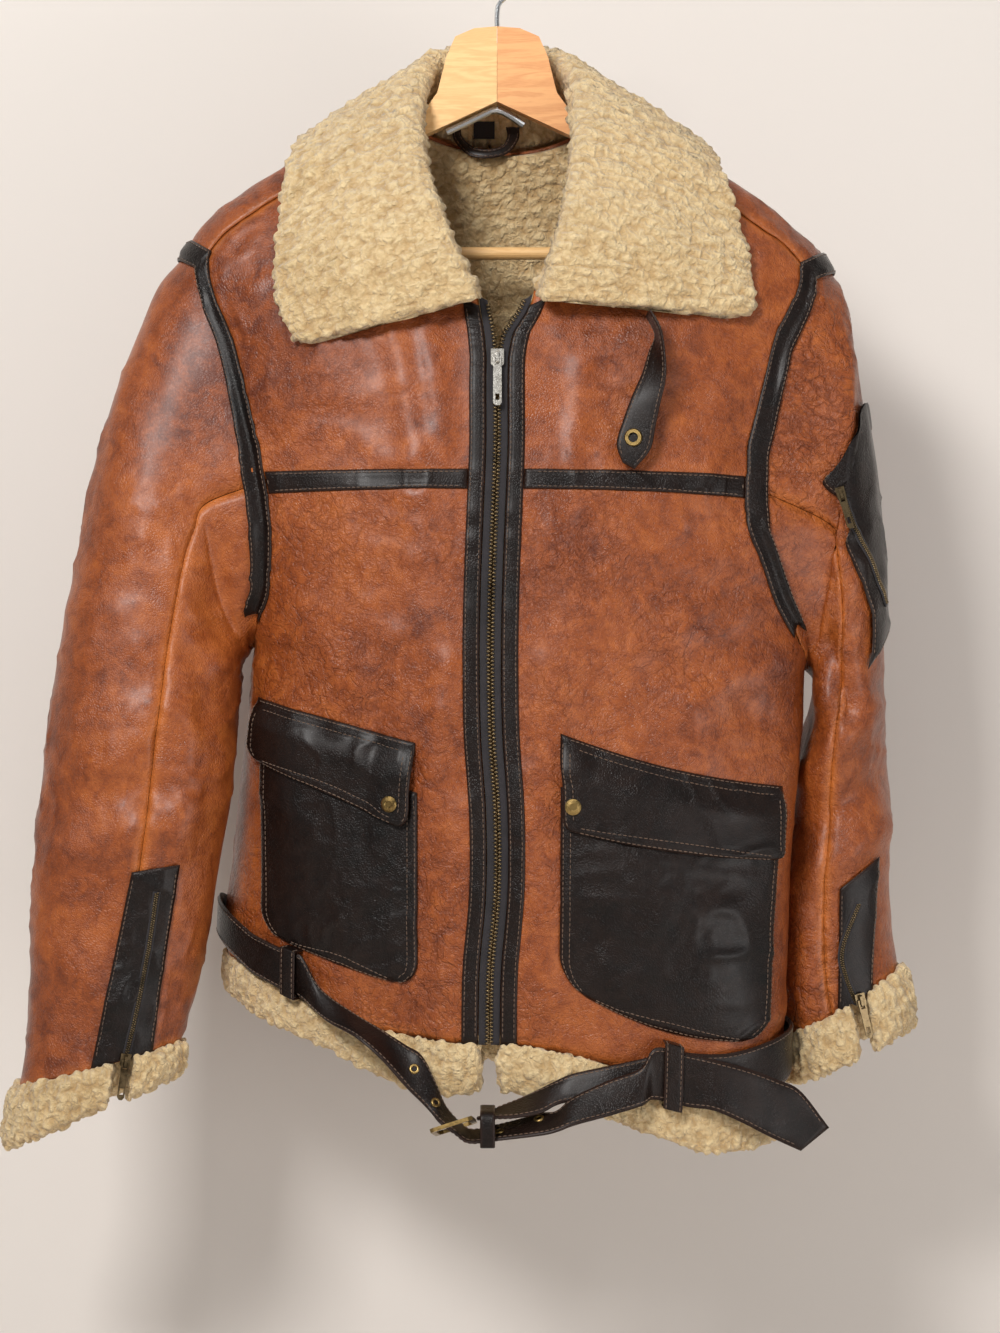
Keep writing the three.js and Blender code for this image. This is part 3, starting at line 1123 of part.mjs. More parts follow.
// The keeper's section is given as y and z, and it runs along x.
const KEEPER = {
  from: -13,
  wide: 12,
  outer: [[-89.8, -896.6], [-135.2, -896.6], [-135.6, -923.6], [-128.8, -923.8], [-97, -919.8],
    [-89.8, -907]],
  inner: [[-91.5, -898.3], [-133.5, -898.3], [-133.8, -921.8], [-129, -922], [-98, -918],
    [-91.5, -906]],
};
const keeper = new THREE.Shape(flats(KEEPER.outer));
keeper.holes.push(new THREE.Path(flats(KEEPER.inner).reverse()));
const keeperAxes = new THREE.Matrix4().set(0, 0, 1, KEEPER.from, 1, 0, 0, 0, 0, 1, 0, 0, 0, 0, 0, 1);
put('belt_keeper', new THREE.ExtrudeGeometry(keeper, { depth: KEEPER.wide, bevelEnabled: false })
  .applyMatrix4(keeperAxes), FINISH.dark);

// Inside the back neck: a leather loop to hang the jacket by, and a bare size tab.
const HANG_LOOP = [
  { upper: [-29, 41, -131], lower: [-36, 40, -131] },
  { upper: [-28, 38, -139], lower: [-34.5, 37, -142] },
  { upper: [-20, 33, -147.5], lower: [-23, 31.5, -155] },
  { upper: [-8, 31, -150.5], lower: [-8, 29, -158] },
  { upper: [4, 33, -147], lower: [8, 31.5, -154] },
  { upper: [8, 38, -139], lower: [17, 37.5, -142] },
  { upper: [7, 41, -131], lower: [18, 41, -131] },
];
put('hanging_loop', strap(HANG_LOOP, 2.2, 16), FINISH.dark);
put('size_tab', new THREE.BoxGeometry(17, 1.2, 14).translate(-10.5, 43.6, -133), FINISH.dark);

// Hanger: two arms of wood joined at the middle, a bar, a steel hook and a steel brace.
// An arm's outline in the front view: what the neck shows, the edge that the lining rests on,
// and back along the lower edge.
const ARM_OUTLINE = [
  [0.15, -60], [18, -61.5], [33, -68], [40, -84], [47, -112], [60, -130], [72, -138], [85, -139.2],
  [111, -154.9], [137, -170.8], [163, -187.4], [189, -203.8], [202, -213.7], [210, -221.2],
  [217, -234], [216, -249], [209, -253], [165, -222], [110, -186], [80, -163], [60, -147], [0.15, -119.2],
];
function hangerArm(sign) {
  const points = flats(ARM_OUTLINE.map(([x, z]) => [sign * x, z]));
  const shape = new THREE.Shape(sign > 0 ? points.reverse() : points);
  const board = new THREE.ExtrudeGeometry(shape, { depth: HANGER.depth, bevelEnabled: false });
  board.translate(0, 0, -HANGER.depth / 2).rotateX(90 * DEG);
  const drill = (radius, from, to) => (
    new THREE.CylinderGeometry(radius + SEAM_GAP, radius + SEAM_GAP, to - from, 16)
      .rotateZ(90 * DEG).translate((sign * (from + to)) / 2, 0, HANGER.barZ));
  const hole = drill(HANGER.spigot / 2, HANGER.barEnd - 1, HANGER.barEnd + 9);
  const shoulder = drill(HANGER.bar / 2, HANGER.barEnd - 30, HANGER.barEnd);
  return cut(board, hole, shoulder);
}
put('hanger_left_arm', hangerArm(-1), FINISH.wood);
put('hanger_right_arm', hangerArm(1), FINISH.wood);
const { bar, spigot, barEnd } = HANGER;
const [barStop, spigotEnd] = [barEnd - SEAM_GAP, barEnd + 8];
const barProfile = [[0, -spigotEnd], [spigot / 2, -spigotEnd], [spigot / 2, -barStop], [bar / 2, -barStop],
  [bar / 2, barStop], [spigot / 2, barStop], [spigot / 2, spigotEnd], [0, spigotEnd]];
put('hanger_bar', new THREE.LatheGeometry(flats(barProfile), 16)
  .rotateZ(90 * DEG).translate(0, 0, HANGER.barZ), FINISH.wood);

function wire(points, diameter, pieces) {
  const path = new THREE.CatmullRomCurve3(points.map(([x, y, z]) => new THREE.Vector3(x, y, z)));
  const turns = steps(9).slice(0, -1).map((t) => 2 * Math.PI * t);
  const ring = turns.map((turn) => [Math.cos(turn) * diameter / 2, Math.sin(turn) * diameter / 2]);
  const section = new THREE.Shape(flats(ring));
  return new THREE.ExtrudeGeometry(section, { steps: pieces, extrudePath: path, bevelEnabled: false });
}
const HOOK = { radius: 19, from: -60, to: 205 }; // the arc, from its low right side over the top
const hookArc = steps(10).map((t) => {
  const angle = blend(HOOK.from, HOOK.to, t) * DEG;
  const middle = WIRE / 2 - HOOK.radius;
  return [HOOK.radius * Math.cos(angle), 0, middle + HOOK.radius * Math.sin(angle)];
});
put('hanger_hook', wire([[0, 0, -59.6], [0, 0, -50], [1.5, 0, -41], ...hookArc], WIRE, 28), FINISH.steel);
put('hanger_brace', wire([[-40, 0, -142], [-24, 0, -134.6], [-10, 0, -127.8], [-3, 0, -124.8],
  [4, 0, -126], [11, 0, -129.8], [21, 0, -137]], 6, 14), FINISH.steel);

export default jacket;
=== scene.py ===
"""Looks of a sherpa-lined leather jacket that hangs on a wooden coat hanger.

Millimetres, +Z up, until a mesh is made, in metres. The origin is the inside top of the
hanger's hook. The front faces -Y, and left and right are those of someone facing it.
"""

from __future__ import annotations

import json
import logging
import math
from collections.abc import Callable, Sequence
from dataclasses import dataclass, field
from enum import Enum

import bpy
import numpy as np
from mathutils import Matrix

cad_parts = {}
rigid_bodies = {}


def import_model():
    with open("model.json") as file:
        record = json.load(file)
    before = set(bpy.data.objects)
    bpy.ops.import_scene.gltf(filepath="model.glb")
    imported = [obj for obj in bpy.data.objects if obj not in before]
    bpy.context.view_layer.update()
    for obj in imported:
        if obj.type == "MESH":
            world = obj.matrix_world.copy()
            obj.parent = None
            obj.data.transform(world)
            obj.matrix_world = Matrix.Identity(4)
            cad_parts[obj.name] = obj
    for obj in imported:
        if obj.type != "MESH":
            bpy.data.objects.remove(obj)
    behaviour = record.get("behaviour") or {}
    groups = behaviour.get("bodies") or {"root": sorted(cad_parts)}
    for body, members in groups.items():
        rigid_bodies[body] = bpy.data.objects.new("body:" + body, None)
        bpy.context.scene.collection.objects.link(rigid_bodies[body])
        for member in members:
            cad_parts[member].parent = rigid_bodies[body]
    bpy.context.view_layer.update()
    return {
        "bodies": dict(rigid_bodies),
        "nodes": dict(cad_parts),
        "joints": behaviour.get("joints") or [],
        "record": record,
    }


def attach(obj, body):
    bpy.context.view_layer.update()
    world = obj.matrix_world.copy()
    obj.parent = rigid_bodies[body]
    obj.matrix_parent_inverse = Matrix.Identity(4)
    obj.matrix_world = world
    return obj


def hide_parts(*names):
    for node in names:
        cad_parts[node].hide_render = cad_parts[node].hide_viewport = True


LOG = logging.getLogger("jacket")
MM = 0.001
LEATHER = 2.0  # wall of the leather panels
SEAM_GAP = 0.3  # between pieces that are sewn together
SEAM_TURN = 0.045  # half of a seam's gap in degrees round the body
SEAM_ROWS = 0.0035  # half of a seam's gap in rows
LIFT = 0.8  # height of a sewn-on piece over its panel
TRIM = 1.6  # wall of a strip
STRIP_HALF = 9.0  # half of a strip's width
PLACKET = (8.4, 21.0)  # from the zip's centre
PLACKET_TOP = 12.4
ZIP_TOP = 12.9
ZIP_HALF = 7.8
CUFF_LIFT = LIFT + 1.1 + TRIM
BELT_WIDTH = 38.0
BELT_WALL = 3.0
BELT_LIFT = 6.8
LINING_GAP = 6.5  # from the leather's skin to the fleece
LINING_WALL = 6.0
COLLAR_WALL = 9.0
COLLAR_SEAM = 2.0
SHOULDER_SEAM = 68.0
PIT_ROW = 5.0  # the armhole's lowest row
TOP_ROW = 10.0  # and its highest
TOP_TURN = 25.0  # turn up to which it stays at its top
CHEST_ROW = 7.5
FLATNESS = 0.8  # power that squares the body's ellipse
SLIDER_ROW = 9.45
V_HALF = 13.0  # half of the zip's opening at the neck
CHEST_PITCH = 62  # mm from row to row at the chest
HEM_PITCH = 60  # and at the hem
SLEEVE_HALVES = {"outer": (-102.38, 102.38), "under": (102.62, 257.38)}  # degrees round the arm
FORWARD = np.array([0.0, -1.0, 0.0])
DOWN = np.array([0.0, 0.0, -1.0])

# left x, z, right x, z, front x, z, back z, depth in front, behind, twist, sag of the right
TORSO = np.array([
    [-214, -790, 219, -884, -6, -852, -842, 88, 72, 0.15, 18],
    [-213, -744, 221, -824, -5, -795, -788, 94, 76, 0.15, 12],
    [-209, -694, 225, -762, 0, -736, -730, 98, 80, 0.13, 8],
    [-203, -644, 230, -700, 0, -676, -670, 100, 82, 0.11, 4],
    [-196, -596, 236, -634, -4, -616, -612, 101, 84, 0.08, 2],
    [-189, -548, 240, -566, -5, -556, -552, 101, 86, 0.05, 0],
    [-194, -502, 244, -514, -4, -500, -502, 100, 87, 0.03, 0],
    [-204, -452, 249, -460, -2, -448, -450, 98, 86, 0.02, 0],
    [-216, -390, 254, -398, 0, -396, -392, 94, 84, 0.01, 0],
    [-231, -312, 258, -322, 0, -346, -326, 88, 80, 0, 0],
    [-246, -238, 260, -248, 1, -314, -252, 82, 72, 0, 0],
    [-201, -193, 211, -201, 3, -303, -208, 80, 66, 0, 0],
    [-144, -158, 150, -162, 5, -295, -176, 78, 59, 0, 0],
    [-85, -122, 88, -124, 7, -287, -150, 76, 50, 0, 0],
], float)
NECK = len(TORSO) - 1
# share of the way from the pit to the shoulder, then degrees from the side to the edge
ARMHOLE = np.array([
    [0, 0, 0, 0], [0.06, 12, 14, 12], [0.2, 24, 27, 24], [0.4, 29, 37, 32],
    [0.6, 29, 38, 34], [0.85, 26, 32, 29], [1, 22, 22, 22],
], float)
# outer x, z, inner x, z, middle y, half of the depth
SLEEVES = {
    "left": np.array([
        [-268, -262, -198, -553, 4, 60], [-284, -305, -202, -560, 1, 61],
        [-299, -352, -204, -569, -4, 61], [-313, -405, -203, -579, -9, 60],
        [-325, -462, -204, -596, -14, 58], [-336, -522, -205, -616, -20, 56],
        [-346, -580, -206, -640, -25, 54], [-353, -635, -208, -670, -28, 52],
        [-359, -690, -214, -707, -30, 49], [-362, -742, -221, -748, -32, 46],
        [-364, -795, -230, -796, -33, 43], [-366, -845, -240, -834, -34, 41],
        [-371, -890, -247, -855, -35, 40],
    ], float),
    "right": np.array([
        [274, -275, 246, -570, 2, 58], [281, -315, 250, -576, 4, 60],
        [288, -362, 251, -585, 7, 62], [296, -412, 249, -598, 10, 64],
        [301, -465, 245, -614, 13, 65], [304, -520, 240, -634, 16, 65],
        [305, -575, 234, -659, 19, 65], [307, -628, 227, -690, 21, 63],
        [311, -680, 221, -724, 22, 61], [311, -728, 218, -762, 21, 58],
        [313, -768, 218, -802, 19, 54], [316, -788, 220, -834, 16, 50],
        [318, -802, 225, -858, 14, 47],
    ], float),
}
# folds: start x, z, end x, z in the front view, half of the width, height
TORSO_FOLDS = {
    "front": np.array([
        [-60, -440, -35, -600, 22, 3], [-150, -520, -110, -570, 20, 3],
        [60, -520, 45, -600, 20, 3], [215, -560, 150, -590, 16, 4],
        [205, -600, 120, -560, 16, -2.5], [28, -650, 34, -820, 16, 4],
        [-34, -680, -36, -840, 15, 3.5], [-150, -230, -130, -330, 26, 3],
        [150, -240, 120, -330, 26, 3], [-78, -300, -62, -405, 11, 3.5],
        [-50, -300, -42, -400, 9, 2.5], [66, -330, 58, -405, 9, 2.5], [178, -350, 160, -420, 16, 3],
        [-120, -610, -80, -540, 9, 2.5], [-100, -700, -84, -560, 10, -2], [36, -560, 60, -640, 9, 2.5],
        [100, -560, 160, -520, 10, 2.5], [-36, -560, -50, -660, 9, 3],
    ], float),
    "back": np.array([
        [-120, -300, -60, -520, 30, 4], [130, -310, 80, -540, 30, 4],
        [-140, -640, -30, -700, 26, 4], [150, -660, 30, -720, 24, 4],
        [0, -740, 10, -830, 28, 3],
    ], float),
}
SLEEVE_FOLDS = {
    "left": {
        "front": np.array([
            [-210, -470, -232, -600, 14, -4], [-238, -600, -243, -700, 12, 5],
            [-215, -560, -300, -640, 15, 4], [-235, -678, -330, -708, 14, 3.5],
            [-250, -650, -345, -672, 13, -3], [-300, -340, -290, -450, 24, 3],
            [-350, -780, -290, -820, 15, 3],
        ], float),
        "back": np.array([
            [-220, -600, -330, -650, 18, 4], [-230, -680, -340, -720, 18, -3],
            [-240, -740, -340, -780, 17, 4],
        ], float),
    },
    "right": {
        "front": np.array([
            [244, -530, 258, -590, 10, 8], [259, -545, 272, -600, 8, -7],
            [290, -600, 240, -650, 12, 6], [300, -650, 240, -690, 11, -5],
            [300, -690, 235, -736, 12, 5], [270, -330, 262, -430, 16, 4],
            [240, -760, 246, -830, 12, 4],
        ], float),
        "back": np.array([
            [240, -620, 300, -650, 18, 4], [240, -690, 300, -720, 18, -3],
            [240, -740, 300, -770, 16, 3],
        ], float),
    },
}
Points = np.ndarray


class Side(Enum):
    """A side of the jacket as someone facing it sees it."""

    LEFT = "left"
    RIGHT = "right"

    @property
    def sign(self) -> int:
        """-1 on the left and 1 on the right."""
        return -1 if self is Side.LEFT else 1

    @property
    def column(self) -> int:
        """The column of its front edge in the armhole's table."""
        return 1 if self is Side.LEFT else 2


def unit(v: Points) -> Points:
    """Scales vectors to length one."""
    length = np.linalg.norm(v, axis=-1, keepdims=True)
    return v / np.where(length < 1e-9, 1.0, length)


def bow(value: Points, power: float) -> Points:
    """Raises to a power and keeps the sign."""
    return np.sign(value) * np.abs(value) ** power


def smooth(t: Points) -> Points:
    """Eases 0 to 1."""
    t = np.clip(t, 0, 1)
    return t * t * (3 - 2 * t)


def stack(*parts: Points) -> Points:
    """Puts coordinates together."""
    return np.stack(np.broadcast_arrays(*parts), axis=-1).astype(float)


def curve(a: Points, b: Points, c: Points, d: Points, f: Points) -> Points:
    """A Catmull-Rom curve from b to c, with its neighbours a and d, at the share f."""
    return b + 0.5 * f * (c - a + f * (2 * a - 5 * b + 4 * c - d + f * (3 * (b - c) + d - a)))


def along(rows: Points, t: Points) -> Points:
    """A smooth curve through rows of numbers.

    Args:
        rows: (n, ...) values.
        t: Rows from the first, of any shape.

    Returns:
        Values of shape t.shape + rows.shape[1:], on a Catmull-Rom curve.
    """
    rows = np.asarray(rows, float)
    t = np.asarray(t, float)
    ends = (2 * rows[0] - rows[1], 2 * rows[-1] - rows[-2])
    padded = np.concatenate([ends[0][None], rows, ends[1][None]])
    i = np.clip(np.floor(t), 0, len(rows) - 2).astype(int)
    f = (t - i).reshape(t.shape + (1,) * (rows.ndim - 1))
    return curve(*(padded[i + k] for k in range(4)), f)


def relief(folds: Points, x: Points, z: Points) -> Points:
    """How far folds lift a surface: a bell across each line, summed.

    Args:
        folds: Rows of start x, z, end x, z, half width and height.
        x: Places in the front view.
        z: Places in the front view.

    Returns:
        The height at each place.
    """
    total = np.zeros(np.shape(x))
    for x0, z0, x1, z1, wide, high in folds:
        run = np.array([x1 - x0, z1 - z0])
        t = np.clip(((x - x0) * run[0] + (z - z0) * run[1]) / (run @ run), 0, 1)
        away = np.hypot(x - x0 - run[0] * t, z - z0 - run[1] * t)
        total += high * np.exp(-((away / wide) ** 2))
    return total


def folded(folds: dict[str, Points], front: Points, point: Points) -> Points:
    """The folds' height at points that are in front or at the back."""
    x, z = point[..., 0], point[..., 2]
    return np.where(front, relief(folds["front"], x, z), relief(folds["back"], x, z))


class Host:
    """A surface of two parameters that pieces lie on."""

    last: float

    def surface(self, u: Points, v: Points, bare: bool = False) -> Points:
        """The surface's points.

        Args:
            u: First parameter, in degrees.
            v: Second parameter, in rows or rings.
            bare: Leaves the folds out.

        Returns:
            Points.
        """
        raise NotImplementedError

    def toward(self, u: Points) -> Points:
        """A rough outward direction, for the normals' side."""
        raise NotImplementedError

    def guess(self, x: Points, z: Points) -> tuple[Points, Points]:
        """Parameters near a place of the front view."""
        raise NotImplementedError

    def facing(self, u: Points, v: Points, bare: bool = False) -> Points:
        """Outward normals from the surface's two slopes.

        Args:
            u: First parameter.
            v: Second parameter.
            bare: Leaves the folds out.

        Returns:
            Directions of length one.
        """
        u, v = np.broadcast_arrays(np.asarray(u, float), np.asarray(v, float))
        v = np.clip(v, -0.4, self.last - 0.03)
        du = self.surface(u + 0.4, v, bare) - self.surface(u - 0.4, v, bare)
        dv = self.surface(u, v + 0.02, bare) - self.surface(u, v - 0.02, bare)
        normal = unit(np.cross(du, dv))
        side = np.sum(normal * self.toward(u), axis=-1, keepdims=True)
        return np.where(side < 0, -normal, normal)

    def locate(self, flat: Points) -> tuple[Points, Points]:
        """Finds the places that the front view shows, by Newton's steps.

        Args:
            flat: x, z of each place along the last axis.

        Returns:
            The two parameters of each place.
        """
        x, z = flat[..., 0], flat[..., 1]
        u, v = self.guess(x, z)
        for _ in range(14):
            p = self.surface(u, v)
            du = (self.surface(u + 0.5, v) - p) / 0.5
            dv = (self.surface(u, v + 0.05) - p) / 0.05
            det = du[..., 0] * dv[..., 2] - du[..., 2] * dv[..., 0]
            det = np.where(np.abs(det) < 1e-9, 1e-9, det)
            ex, ez = x - p[..., 0], z - p[..., 2]
            u = u + np.clip((ex * dv[..., 2] - ez * dv[..., 0]) / det, -12, 12)
            step = np.clip((du[..., 0] * ez - du[..., 2] * ex) / det, -1, 1)
            v = np.clip(v + step, -0.4, self.last - 0.06)
        return u, v


class Torso(Host):
    """The body: u is 0 at the centre front and 90 on the right, v runs from hem to neck."""

    last = NECK

    def surface(self, u: Points, v: Points, bare: bool = False) -> Points:
        """An ellipse, a little squared, through the silhouette, turned and sagging. See Host."""
        u, v = np.broadcast_arrays(np.asarray(u, float), np.asarray(v, float))
        cols = np.moveaxis(along(TORSO, v), -1, 0)
        lx, lz, rx, rz, fx, fz, bz, fore, aft, twist, sag = cols
        s, c = np.sin(np.radians(u)), np.cos(np.radians(u))
        reach = np.where(s < 0, fx - lx, rx - fx)
        depth = np.where(c > 0, fore, aft)
        x = fx + reach * s
        y = -depth * bow(c, FLATNESS) - twist * (x - fx)
        droop = np.where((s > 0) & (c > 0), sag * (2 * s * c) ** 2, 0)
        z = np.where(c > 0, fz, bz) * c * c + np.where(s < 0, lz, rz) * s * s - droop
        point = stack(x, y, z)
        if bare:
            return point
        out = unit(stack(s / reach, -c / depth, np.zeros_like(x)))
        high = folded(TORSO_FOLDS, c > 0, point)
        return point + out * (np.minimum(1, 3 * np.abs(c)) * high)[..., None]

    def toward(self, u: Points) -> Points:
        """See Host.toward."""
        return stack(np.sin(np.radians(u)), -np.cos(np.radians(u)), 0.2)

    def guess(self, x: Points, z: Points) -> tuple[Points, Points]:
        """See Host.guess."""
        return np.degrees(np.arcsin(np.clip(x / 230, -0.95, 0.95))), np.clip((z + 850) / CHEST_PITCH, 0, 12)

    def row_side(self, row: Points, side: Side) -> Points:
        """Half of the body's width on a side."""
        cols = along(TORSO, row)
        return cols[..., 4] - cols[..., 0] if side is Side.LEFT else cols[..., 2] - cols[..., 4]

    def beside_zip(self, row: Points, side: Side, away: Points) -> Points:
        """The angle of a place beside the zip's opening: closed, then a V over the slider.

        Args:
            row: Rows from the hem.
            side: Left or right.
            away: Distance from the opening's edge.

        Returns:
            Degrees.
        """
        share = np.clip((row - SLIDER_ROW) / (NECK - SLIDER_ROW), 0, 1)
        half = SEAM_GAP / 2 + V_HALF * share
        return side.sign * np.degrees(np.arcsin((half + away) / self.row_side(row, side)))


BODY = Torso()


def armhole_edge(row: Points, column: int) -> Points:
    """Degrees from the side to an armhole's edge."""
    share = np.clip((row - PIT_ROW) / (TOP_ROW - PIT_ROW), 0, 1)
    return np.interp(share, ARMHOLE[:, 0], ARMHOLE[:, column])


def front_limit(row: Points, side: Side) -> Points:
    """Degrees from the side to the front panel's edge: the armhole's, then the shoulder seam."""
    return np.where(row >= TOP_ROW, 90 - SHOULDER_SEAM, armhole_edge(row, side.column))


def armhole_place(side: Side, turn: Points) -> tuple[Points, Points]:
    """The armhole as a loop: turn 0 is its top, 90 the front, 180 the pit.

    Args:
        side: Left or right.
        turn: Degrees round the sleeve.

    Returns:
        Angles and rows of the torso.
    """
    turn = np.asarray(turn, float) % 360
    front = turn <= 180
    way = np.where(front, turn, 360 - turn)
    share = (1 + np.cos(np.pi * (way - TOP_TURN) / (180 - TOP_TURN))) / 2
    share = np.where(way < TOP_TURN, 1, share)
    row = PIT_ROW + (TOP_ROW - PIT_ROW) * share
    away = np.where(front, armhole_edge(row, side.column), armhole_edge(row, 3))
    away = np.where(way < TOP_TURN, (90 - SHOULDER_SEAM) * way / TOP_TURN, away)
    return side.sign * np.where(front, 90 - away, 90 + away), row


class Sleeve(Host):
    """A sleeve: u is the turn round it and v the ring, 0 at the armhole."""

    def __init__(self, side: Side) -> None:
        """Keeps the sleeve's rings.

        Args:
            side: Left or right.
        """
        self.side = side
        self.rings = SLEEVES[side.value]
        self.last = float(len(self.rings))

    def surface(self, u: Points, v: Points, bare: bool = False) -> Points:
        """Flattened rings along the arm, smoothly from the armhole's own seam. See Host."""
        u, v = np.broadcast_arrays(np.asarray(u, float) % 360, np.asarray(v, float))
        s, c = np.sin(np.radians(u)), np.cos(np.radians(u))
        ox, oz, ix, iz, y, half = (self.rings[:, k].reshape((-1,) + (1,) * u.ndim) for k in range(6))
        deep = y - half * bow(s, 0.9)[None]
        rings = stack((ox + ix) / 2 + (ox - ix) / 2 * c, deep, (oz + iz) / 2 + (oz - iz) / 2 * c)
        seam = BODY.surface(*armhole_place(self.side, u))
        seam = seam + unit(rings[0] - seam) * SEAM_GAP
        chain = np.stack([2 * seam - rings[0], seam, *rings, rings[-1], rings[-1]])
        near = np.clip(np.floor(v), 0, self.last).astype(int)
        f = (v - near)[..., None]
        near = near[None, ..., None]
        point = curve(*(np.take_along_axis(chain, near + k, 0)[0] for k in range(4)), f)
        if bare:
            return point
        fade = smooth(v / 1.5) * np.minimum(1, 2 * np.abs(s))
        out = unit(stack(c * self.side.sign, -s, np.zeros_like(s)))
        high = folded(SLEEVE_FOLDS[self.side.value], s > 0, point)
        return point + out * (fade * high)[..., None]

    def toward(self, u: Points) -> Points:
        """See Host.toward."""
        return stack(np.cos(np.radians(u)) * self.side.sign, -np.sin(np.radians(u)), 0.1)

    def guess(self, x: Points, z: Points) -> tuple[Points, Points]:
        """See Host.guess."""
        return np.full(np.shape(x), 80.0), np.clip((-z - 240) / 48, 1, 12)

    def facing(self, u: Points, v: Points, bare: bool = False) -> Points:
        """Normals that start as the torso's at the armhole. See Host."""
        own = super().facing(u, np.clip(v, 0.05, self.last - 0.03), bare)
        root = BODY.facing(*armhole_place(self.side, u))
        share = smooth(np.asarray(v, float))[..., None]
        return unit(root + (own - root) * share)


ARMS = {side: Sleeve(side) for side in Side}


@dataclass(frozen=True)
class Lattice:
    """Random values on a lattice, for noise that is the same on every run."""

    seed: int = 7
    count: int = 1 << 16

    def values(self, cell: Points, columns: int = 1) -> Points:
        """Random numbers of lattice cells.

        Args:
            cell: Whole numbers, three along the last axis.
            columns: How many numbers for each cell.

        Returns:
            Numbers from 0 to 1.
        """
        table = np.random.default_rng(self.seed).random((self.count, columns))
        key = cell[..., 0] * 73856093 ^ cell[..., 1] * 19349663 ^ cell[..., 2] * 83492791
        return table[key & (self.count - 1)]

    def noise(self, p: Points) -> Points:
        """Smooth noise: the cell's corners blended.

        Args:
            p: Points in cells.

        Returns:
            Numbers from -1 to 1.
        """
        base = np.floor(p).astype(np.int64)
        w = smooth(p - base)
        total = np.zeros(p.shape[:-1])
        for corner in np.ndindex(2, 2, 2):
            share = np.prod(np.where(np.array(corner) == 1, w, 1 - w), axis=-1)
            total += share * self.values(base + np.array(corner))[..., 0]
        return 2 * total - 1

    def cells(self, p: Points) -> tuple[Points, Points]:
        """Distances to the nearest and the second nearest random point.

        Args:
            p: Points in cells.

        Returns:
            The two distances.
        """
        base = np.floor(p).astype(np.int64)
        first = np.full(p.shape[:-1], 9.0)
        second = first.copy()
        for corner in np.ndindex(3, 3, 3):
            cell = base + np.array(corner) - 1
            away = np.linalg.norm(p - cell - self.values(cell, 3), axis=-1)
            second = np.minimum(second, np.maximum(first, away))
            first = np.minimum(first, away)
        return first, second


CURL = Lattice(3)
WRINKLE = Lattice(11)


def pile(points: Points, curl: float, high: float) -> tuple[Points, Points]:
    """Height of a curly pile: rounded lumps with soft grooves between them.

    Args:
        points: Places, in millimetres.
        curl: Size of a lump.
        high: The pile's height.

    Returns:
        Heights, and shares from 0 in a groove to 1 on a lump.
    """
    swirl = stack(*(CURL.noise(points / (curl * 1.1) + 40 * k) for k in range(1, 4)))
    first, second = CURL.cells(points / curl + 0.42 * swirl)
    share = np.sqrt(np.clip(1 - (first / 1.05) ** 2, 0, 1)) * (0.35 + 0.65 * smooth((second - first) / 0.5))
    return high * share, share


def rumple(points: Points, high: float) -> Points:
    """Uneven creases of worn leather: ridged noise in two sizes, the smaller in patches.

    Args:
        points: Places, in millimetres.
        high: Height of the larger creases.

    Returns:
        Heights.
    """
    bend = stack(*(WRINKLE.noise(points / 70 + 9 * k) for k in range(1, 4))) * 26
    wide = WRINKLE.noise((points + bend) * np.array([1, 1, 0.6]) / 62)
    sharp = 1 - np.abs(WRINKLE.noise((points + bend) * np.array([0.8, 0.8, 1.5]) / 34 + 5))
    small = 1 - np.abs(WRINKLE.noise((points + 0.6 * bend) * np.array([1.1, 1.1, 0.8]) / 17 + 23))
    patch = smooth(0.35 + 1.6 * WRINKLE.noise(points / 90 + 31))
    return high * (0.8 * wide + 0.7 * sharp**4 * smooth(0.5 + wide) + 0.6 * small**5 * patch)


# Places where hard pieces sit, as x, z in front and a radius: the leather stays calm there
CALM = np.array([
    [-79, -668, 26], [57, -670, 26], [0.3, -330, 40], [114, -296, 26], [-150, -800, 30],
    [140, -855, 30], [265, -431, 30], [-287, -874, 34], [283, -834, 30],
], float)
RUMPLE = 3.2  # height of the larger creases
CALM_HALF = 30  # beside the zip, where the body's leather stays calm
HUNG_ON = ("hanger_left_arm", "hanger_right_arm")


def over_bare(u: Points, v: Points, high: Points | float) -> Points:
    """Places over the body as it is without its folds."""
    return BODY.surface(u, v, True) + BODY.facing(u, v, True) * high


def dented(host: Host, u: Points, v: Points, high: Points | float = 0.0) -> Points:
    """A place over a host's leather, which is creased a little beyond its folds.

    Args:
        host: The torso or a sleeve.
        u: First parameter.
        v: Second parameter.
        high: Height over the leather.

    Returns:
        Points.
    """
    base = host.surface(u, v)
    far = [1 - np.exp(-(np.hypot(base[..., 0] - x, base[..., 2] - z) / r) ** 2) for x, z, r in CALM]
    beside = 1 - np.exp(-((base[..., 0] / CALM_HALF) ** 2)) if host is BODY else 1.0
    dent = rumple(base, RUMPLE) * np.prod(far, axis=0) * beside
    return base + host.facing(u, v) * (dent + high)[..., None]


def walls(grid: Points, thick: float) -> Points:
    """The other skin of a wall, behind the grid along its normals."""
    return grid - grid_normals(grid) * thick


def grid_normals(grid: Points) -> Points:
    """Normals of a grid from its own slopes."""
    return unit(np.cross(np.gradient(grid, axis=1), np.gradient(grid, axis=0)))


def lengths(grid: Points, axis: int) -> Points:
    """Distances along a grid from its first row or column."""
    step = np.linalg.norm(np.diff(grid, axis=axis), axis=-1)
    return np.concatenate([np.zeros_like(np.take(step, [0], axis)), np.cumsum(step, axis)], axis)


